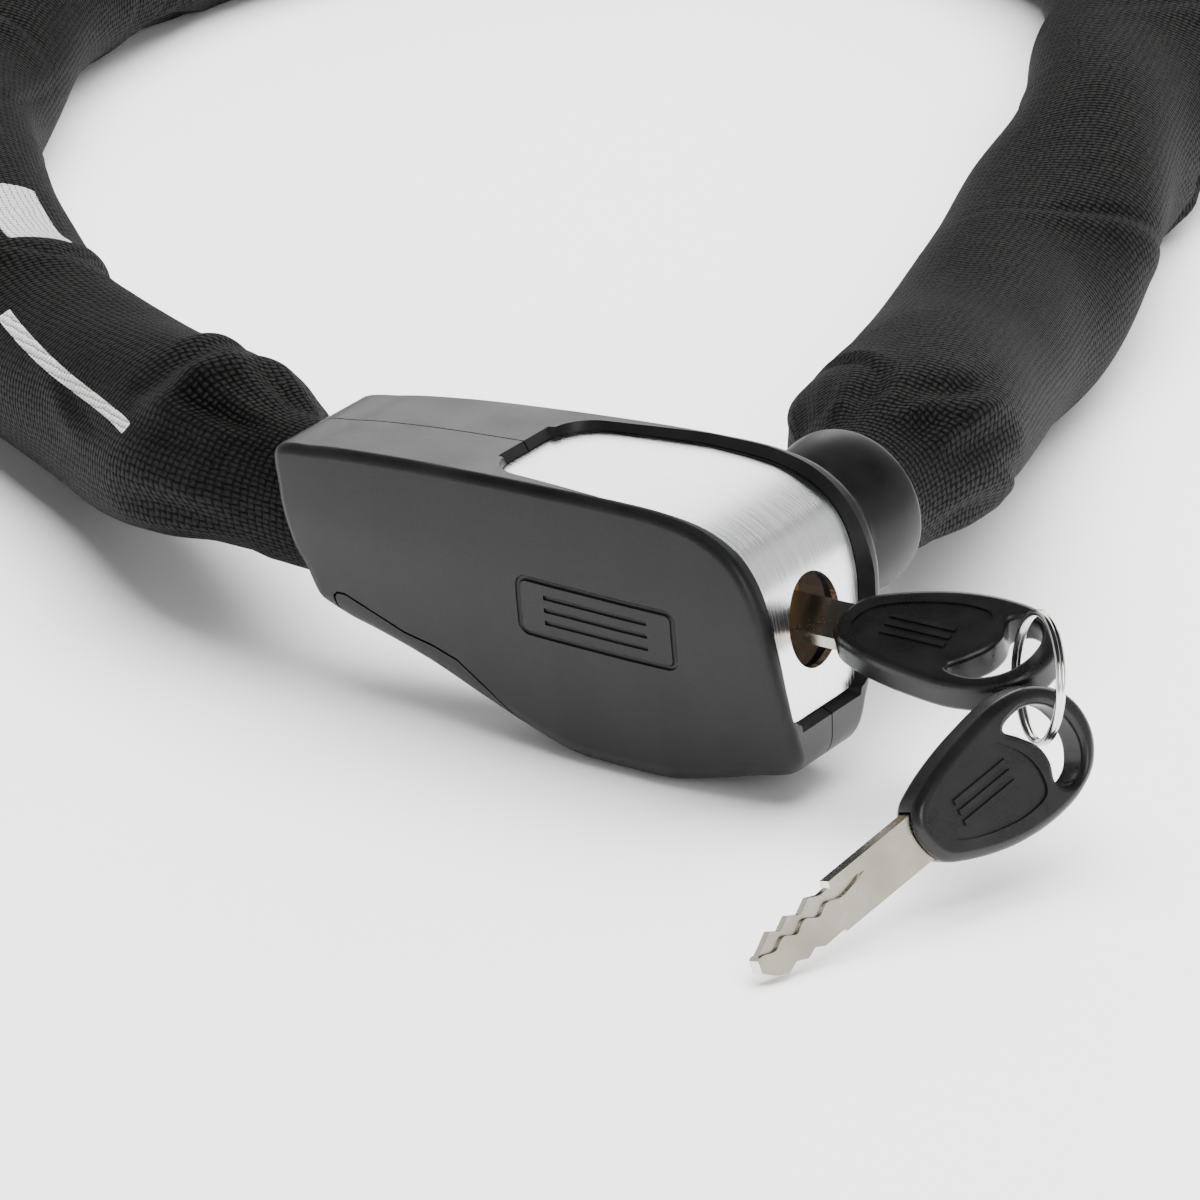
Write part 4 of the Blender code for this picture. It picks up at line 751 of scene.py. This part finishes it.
def key_parts(tag, origin, A, W, H, blade_from=0.6):
    """Bow and blade of one key: A along it from the blade to the loop, W across, H through."""
    o = np.asarray(origin, float)
    frame = (o, A, W, H)
    out = smooth_closed(BOW_OUT, 200)
    bow = prism("key_%s_bow" % tag, out, -BOW_H, BOW_H, frame, BOW, False, 1.7)
    boolean(bow, loop_cutter(smooth_closed(BOW_HOLE, 110), frame, 1.2))
    panel = inset_closed(smooth_closed([(3.4, -1.8), (4.4, 2.2), (8, 4.8), (15, 7.2), (20.6, 8.0), (24.6, 7.2), (25.4, 4.0), (24.6, 0.4), (22.4, -3.0), (19.4, -5.6), (14, -5.8), (7, -4.4)], 140), 0.0)
    for sgn in (1, -1):
        boolean(bow, prism("c", panel, min(sgn * 2.7, sgn * 8), max(sgn * 2.7, sgn * 8), frame))
        slot = [(8, -1.9), (21.5, -1.9), (21.5, 1.9), (8, 1.9)]
        for dw in (-1.6, 0.3, 2.2):
            bar = [(8.5, dw - 0.45), (20.5, dw - 0.45), (20.5, dw + 0.45), (8.5, dw + 0.45)]
            boolean(bow, prism("c", bar, min(sgn * 2.3, sgn * 3.05), max(sgn * 2.3, sgn * 3.05), frame), "UNION")
    boolean(bow, prism("c", [(-5, -BLADE_W / 2 - GAP), (10, -BLADE_W / 2 - GAP), (10, BLADE_W / 2 + GAP), (-5, BLADE_W / 2 + GAP)], -BLADE_T / 2 - GAP, BLADE_T / 2 + GAP, frame))
    h = BLADE_W / 2
    edge = [(9.6, -h), (-17.6, -h), (-18.0, -h + 1.0), (-19.8, -h + 1.1), (-22.0, -h + 0.2), (-24.6, -h + 1.5), (-26.8, -h + 0.3), (-29.2, -h + 1.5), (-31.0, -h + 0.4), (-33.2, -h + 1.6), (-BLADE_L + 0.4, -1.4), (-BLADE_L, 0.6),
            (-33.6, h - 1.6), (-31.6, h - 0.7), (-29.4, h - 1.5), (-27.2, h - 0.6), (-25.2, h - 1.3), (-23.5, h - 0.4), (-BLADE_L * 0.53, h - 0.5), (-BLADE_L * 0.52, h), (9.6, h)]
    blade = prism("key_%s_blade" % tag, edge, -BLADE_T / 2, BLADE_T / 2, frame, NICKEL, False)
    # the wavy side groove milled into both faces, running out to the tip and to the cut edge, with a leaf-shaped tail
    mid = smooth_open([(-11.0, -1.9), (-14.0, -1.2), (-17.0, -0.9), (-19.6, -1.7), (-22.0, -0.7), (-24.6, -1.9), (-27.0, -0.8), (-29.4, -1.9), (-31.8, -0.9), (-34.2, -1.6)], 80)
    milled = [tuple(p) for p in mid] + [(-37.5, -1.9), (-37.5, -h - 3), (-18.3, -h - 3), (-17.9, -3.1), (-14.4, -2.5)]
    for sgn in (1, -1):
        boolean(blade, prism("c", milled, min(sgn * 0.65, sgn * 4), max(sgn * 0.65, sgn * 4), frame))
    return bow, blade


V["key_1_bow"], V["key_1_blade"] = key_parts("1", (BOW_X, 0, 0), np.array([1.0, 0, 0]), KY, KZ)

RING_N = np.array([0.6747, 0.7311, -0.1017])
RING_N /= np.linalg.norm(RING_N)
RING_C = np.array([143.392, -4.109, 1.033])
e1 = np.cross(RING_N, (0, 0, 1.0))
e1 /= np.linalg.norm(e1)
e2 = np.cross(RING_N, e1)
turns = np.linspace(0, 2 * math.pi * 1.96, 300)
coil = [RING_C + RING_R * (math.cos(a + 2.6) * e1 + math.sin(a + 2.6) * e2) + 0.58 * (2 * (a / turns[-1]) - 1) * RING_N for a in turns]
V["key_ring"] = smooth(tube("key_ring", coil, 0.56, 16, WIRE))
A2 = np.array([0.2382, 0.9192, 0.3136])
A2 /= np.linalg.norm(A2)
W2 = np.array([0.4015, 0.2008, -0.8936])
W2 -= (W2 @ A2) * A2
W2 /= np.linalg.norm(W2)
H2 = np.cross(A2, W2)
O2 = np.array([139.36, -37.11, -15.8])
V["key_2_bow"], V["key_2_blade"] = key_parts("2", O2, A2, W2, H2)



# ---------------------------------------------------------------- collar
collar_profile = []
for y, r in ((20.1, 5.7), (20.1, 10.2)):
    collar_profile.append((y, r))
for k in range(9):
    a = 0.5 * math.pi * k / 8
    collar_profile.append((21.4 - 1.3 * math.cos(a), 10.2 + 1.2 * math.sin(a) * 1.0))
for k in range(1, 25):
    t = k / 24
    collar_profile.append((21.4 + 10.4 * t, 11.4 + (COLLAR_R - 11.4) * (1 - (1 - t) ** 1.9)))
for k in range(1, 9):
    a = 0.5 * math.pi * k / 8
    collar_profile.append((31.8 + 1.2 * math.sin(a), COLLAR_R - 0.9 + 0.9 * math.cos(a)))
collar_profile += [(33.0, 13.2), (28.4, 13.15), (28.4, 9.6), (24.2, 9.6), (24.2, 5.7), (20.1, 5.7)]
V["collar"] = revolve("collar", (SOCKET_X, 0, SOCKET_Z), (0, 1, 0), collar_profile, 40, RUBBER, False)

# ---------------------------------------------------------------- woven sleeve
SLEEVE_FROM = nearest_s((9.0, 0, ANCHOR_Z))
SLEEVE_TO = nearest_s((SOCKET_X - 0.2, 29.0, SOCKET_Z))
SPAN = SLEEVE_TO - SLEEVE_FROM
ROWS, COLS = ((1500, 132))
CELL = 1.28
AROUND_CELLS = 86
rng = np.random.default_rng(7)


def bumps(s, a):
    """How far the cloth stands out or in at a place along and around the sleeve, in mm."""
    d = np.zeros_like(s)
    near = np.minimum(s, SPAN - s)
    # slow unevenness of the cloth over the links
    for k in range(12):
        L = rng.uniform(60, 190)
        m = rng.integers(1, 4)
        d += rng.uniform(0.15, 0.42) * np.sin(2 * math.pi * s / L + m * a + rng.uniform(0, 6.28))
    # the links push it out a little where they lie flat
    d += 0.35 * np.cos(2 * math.pi * s / 73.0 + 0.4) * np.cos(2 * a)
    # long slanting folds, each with a soft crest and a sharper hollow on one side
    for k in range(54):
        s0, a0 = rng.uniform(18, SPAN - 18), rng.uniform(0, 2 * math.pi)
        turn = rng.uniform(0.25, 1.25) * rng.choice([-1, 1])
        long, wide = rng.uniform(9, 26), rng.uniform(2.2, 5.0)
        da = (a - a0 + math.pi) % (2 * math.pi) - math.pi
        x, y = s - s0, da * 17.5
        p, q = x * math.cos(turn) + y * math.sin(turn), -x * math.sin(turn) + y * math.cos(turn)
        q = q + 0.012 * p * p * rng.uniform(-1, 1)
        h = rng.uniform(0.4, 1.15)
        d += h * np.exp(-((p / long) ** 2)) * (np.exp(-((q / wide) ** 2)) - 0.8 * np.exp(-(((q - 1.15 * wide) / (0.55 * wide)) ** 2)))
    # gathers where it is drawn into the mouth and the collar
    for end, phase in ((0, 0.4), (1, 1.7)):
        q = s if end == 0 else SPAN - s
        w = np.exp(-(((q - 24) / 14.0) ** 2))
        d += w * (0.62 * np.sin(9 * a + phase + 0.5 * np.sin(2 * a)) + 0.35 * np.sin(14 * a + 2 * phase + 0.06 * q))
    # a fold standing up near the left mouth
    da = (a - 1.35 + math.pi) % (2 * math.pi) - math.pi
    u = s - 34
    d += 2.3 * np.exp(-((da / 0.62) ** 2) - ((u - 3.0 * da) / 5.0) ** 2) - 1.3 * np.exp(-((da / 0.7) ** 2) - ((u - 11 - 3.0 * da) / 4.5) ** 2)
    fade = np.clip((near - 10.5) / 8.0, 0, 1)
    return d * fade


def sleeve_visual():
    u = np.linspace(0, 1, ROWS)
    s = u * SPAN
    near = np.minimum(s, SPAN - s)
    f = np.clip((near - 7) / 34.0, 0, 1)
    f = f * f * (3 - 2 * f)
    hw = SLEEVE_NECK + f * (SLEEVE_HW - SLEEVE_NECK)
    hh = SLEEVE_NECK + f * (SLEEVE_HH - SLEEVE_NECK)
    C = np.array([route(SLEEVE_FROM + q) for q in s])
    for _ in range(260):
        C[1:-1] = 0.25 * C[:-2] + 0.5 * C[1:-1] + 0.25 * C[2:]
    T = np.gradient(C, axis=0)
    T /= np.linalg.norm(T, axis=1)[:, None]
    side = np.cross((0, 0, 1.0), T)
    side /= np.linalg.norm(side, axis=1)[:, None]
    up = np.cross(T, side)
    C[:, 2] = np.maximum(C[:, 2], Z_FLOOR + hh + 0.4)
    a = 2 * math.pi * np.arange(COLS) / COLS
    S, A = np.meshgrid(s, a, indexing="ij")
    D = bumps(S, A)
    # cross section between an ellipse and a softly flattened tube lying on the floor
    ca, sa = np.cos(A), np.sin(A)
    R1 = (hw[:, None] + D) * ca
    R2 = (hh[:, None] + D) * np.sign(sa) * np.abs(sa) ** 0.94
    P = C[:, None, :] + R1[..., None] * side[:, None, :] + R2[..., None] * up[:, None, :]
    P[..., 2] = np.maximum(P[..., 2], Z_FLOOR + 0.12)
    verts = P.reshape(-1, 3)
    faces = []
    for i in range(ROWS - 1):
        for j in range(COLS):
            q = (j + 1) % COLS
            faces.append((i * COLS + j, i * COLS + q, (i + 1) * COLS + q, (i + 1) * COLS + j))
    me = bpy.data.meshes.new("v_sleeve")
    me.from_pydata(put(verts).tolist(), [], faces)
    ob = bpy.data.objects.new("v_sleeve", me)
    bpy.context.scene.collection.objects.link(ob)
    me.materials.append(WEAVE)
    me.polygons.foreach_set("use_smooth", [True] * len(me.polygons))
    layer = me.uv_layers.new(name="weave")
    n = len(me.loops)
    vi = np.empty(n, np.int32)
    me.loops.foreach_get("vertex_index", vi)
    row, col = vi // COLS, vi % COLS
    col = col.astype(float)
    # the face that closes the round keeps counting instead of jumping back to zero
    quad = np.arange(n) // 4
    last = (quad % COLS) == COLS - 1
    col = np.where(last & (col == 0), COLS, col)
    uvs = np.stack([s[row] / CELL, col / COLS * AROUND_CELLS], 1).astype(np.float32)
    layer.data.foreach_set("uv", uvs.ravel())
    # plain pale printed bars on the far stretch of the left run: no lettering
    # (distance inside each shape's edge in mm, so that the edge stays clean between points)
    A2_ = (A + math.pi) % (2 * math.pi) - math.pi
    bar = np.full((ROWS, COLS), -5.0)
    for s0, s1, a0, lean, half in BARS:
        across = half - np.abs(A2_ - a0 - lean * (S - s0) / (s1 - s0)) * 18.0
        bar = np.maximum(bar, np.minimum(across, np.minimum(S - s0, s1 - S)))
    bar = np.clip(bar, -5, 5).astype(np.float32)
    attr = me.attributes.new("bar", "FLOAT", "POINT")
    attr.data.foreach_set("value", bar.ravel())
    return ob, put(C[:: max(1, ROWS // 240)])


BARS = ((38, 112, 0.42, 0.5, 1.3), (146, 176, 1.9, 0.0, 6.0))
sleeve, sleeve_line = sleeve_visual()

# ---------------------------------------------------------------- shading, bodies and stand-ins
for name, ob in V.items():
    if name in ("key_ring",):
        continue
    smooth(ob, 30)
for name in ("left_shell", "right_shell", "belly_cover"):
    wear(V[name], 0.00022, 2, 42)
for name in ("faceplate",):
    wear(V[name], 0.0002, 3, 50)
for name in ("key_1_blade", "key_2_blade"):
    wear(V[name], 0.00016, 2, 35)
for name in ("cylinder_housing", "cylinder_plug"):
    wear(V[name], 0.00025, 2, 45)
for ob in V.values():
    n = ob.modifiers.new("faces", "WEIGHTED_NORMAL")
    n.keep_sharp = True

BODY = {
    "left_shell": "lock_body", "right_shell": "lock_body", "belly_cover": "lock_body", "faceplate": "lock_body", "cylinder_housing": "lock_body",
    "cylinder_plug": "rotor", "key_1_bow": "key_1", "key_1_blade": "key_1", "key_ring": "ring", "key_2_bow": "key_2", "key_2_blade": "key_2", "collar": "chain_end",
}
for name, body in BODY.items():
    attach(V[name], body)
    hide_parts(name)

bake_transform(sleeve)
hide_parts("sleeve")
# the latch's return spring, a fixed coil from spring_low to spring_high
spring_low, spring_high = -2.1, SOCKET_Z + 5.4
coil = []
for k in range(6 * 24 + 1):
    a = 2 * math.pi * k / 24
    coil.append((68.7 + 1.9 * math.cos(a), 13.2 + 1.9 * math.sin(a), spring_low + 0.35 + (spring_high - spring_low - 0.7) * k / 144))
spring = smooth(tube("latch_spring", coil, 0.33, 10, STEEL))
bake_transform(spring)
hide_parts("latch_spring")

SLOT_OF = {
    "lock_core": ZINC, "anchor_pin": STEEL, "shell_screw_1": STEEL, "shell_screw_2": STEEL, "cylinder_clip": STEEL, "drive_cam": STEEL, "latch": STEEL, "latch_spring": STEEL,
    "socket_bush": ZINC, "end_bolt": STEEL, "end_pin": STEEL, "wafer_1": BRASS, "wafer_2": BRASS, "wafer_3": BRASS, "wafer_4": BRASS,
}
for name, ob in frame["nodes"].items():
    mat = CHAIN if name.startswith("chain_link") else SLOT_OF.get(name)
    if mat is not None:
        ob.data.materials.clear()
        ob.data.materials.append(mat)
        if name not in ("lock_core", "latch") and not name.startswith("chain_link"):
            ob.data.polygons.foreach_set("use_smooth", [True] * len(ob.data.polygons))
            ob.data.set_sharp_from_angle(angle=math.radians(40))

# ---------------------------------------------------------------- floor, light, camera
floor_mat, nt, b = finish_of("scene_floor")
b.inputs["Roughness"].default_value = 0.7
b.inputs["Specular IOR Level"].default_value = 0.15
tone = noise(nt, stretched(nt, 1, 1, 1), 3.0)
nt.links.new(ramp(nt, tone, 0.955, 0.97), b.inputs["Base Color"])
me = bpy.data.meshes.new("floor")
me.from_pydata([(-6, -6, -0.0002), (6, -6, -0.0002), (6, 6, -0.0002), (-6, 6, -0.0002)], [], [(0, 1, 2, 3)])
floor = bpy.data.objects.new("floor", me)
me.materials.append(floor_mat)
bpy.context.scene.collection.objects.link(floor)

TH, PH = math.radians(31.8), math.radians(22.4)
back = Vector((math.sin(TH) * math.cos(PH), -math.cos(TH) * math.cos(PH), math.sin(PH)))
right_v = Vector((math.cos(TH), math.sin(TH), 0))
up_v = back.cross(right_v)
cam_mm = Vector((100, 0, 0)) + back * 1400 - right_v * 34.84 + up_v * 3.226
cam = bpy.data.cameras.new("camera")
cam.lens = 8680 / 1200 * 36
cam.sensor_width = 36
cam.clip_end = 60
cam_ob = bpy.data.objects.new("camera", cam)
M = Matrix((right_v, up_v, back)).transposed().to_4x4()
M.translation = Vector(put(cam_mm))
cam_ob.matrix_world = M
bpy.context.scene.collection.objects.link(cam_ob)
bpy.context.scene.camera = cam_ob

# a pale studio with a darker ceiling, so that bends and edges read
world = bpy.data.worlds.new("world")
world.use_nodes = True
wt = world.node_tree
tc = wt.nodes.new("ShaderNodeTexCoord")
sp = wt.nodes.new("ShaderNodeSeparateXYZ")
wt.links.new(tc.outputs["Generated"], sp.inputs[0])
rp = wt.nodes.new("ShaderNodeValToRGB")
rp.color_ramp.elements[0].position = 0.43
rp.color_ramp.elements[0].color = (1, 1, 1, 1)
rp.color_ramp.elements[1].position = 0.62
rp.color_ramp.elements[1].color = (0.04, 0.04, 0.042, 1)
wt.links.new(sp.outputs["Z"], rp.inputs["Fac"])
wt.links.new(rp.outputs["Color"], wt.nodes["Background"].inputs["Color"])
wt.nodes["Background"].inputs["Strength"].default_value = 0.85
bpy.context.scene.world = world


def lamp(name, at, look, size, power, colour=(1, 1, 1), seen=True):
    light = bpy.data.lights.new(name, "AREA")
    light.shape = "RECTANGLE"
    light.size, light.size_y = size
    light.energy = power
    light.color = colour
    ob = bpy.data.objects.new(name, light)
    ob.location = at
    ob.rotation_euler = (Vector(look) - Vector(at)).to_track_quat("-Z", "Y").to_euler()
    ob.visible_glossy = seen
    bpy.context.scene.collection.objects.link(ob)
    return ob


lamp("top", (0.1, 0.25, 1.7), (0.0, 0.05, 0.0), (2.2, 2.2), 146, seen=False)
lamp("back", (-0.5, 1.7, 0.75), (0.0, 0.0, 0.02), (1.8, 0.8), 14)
lamp("key", (1.25, -0.75, 0.75), (0.03, 0, 0.02), (0.5, 0.9), 9)
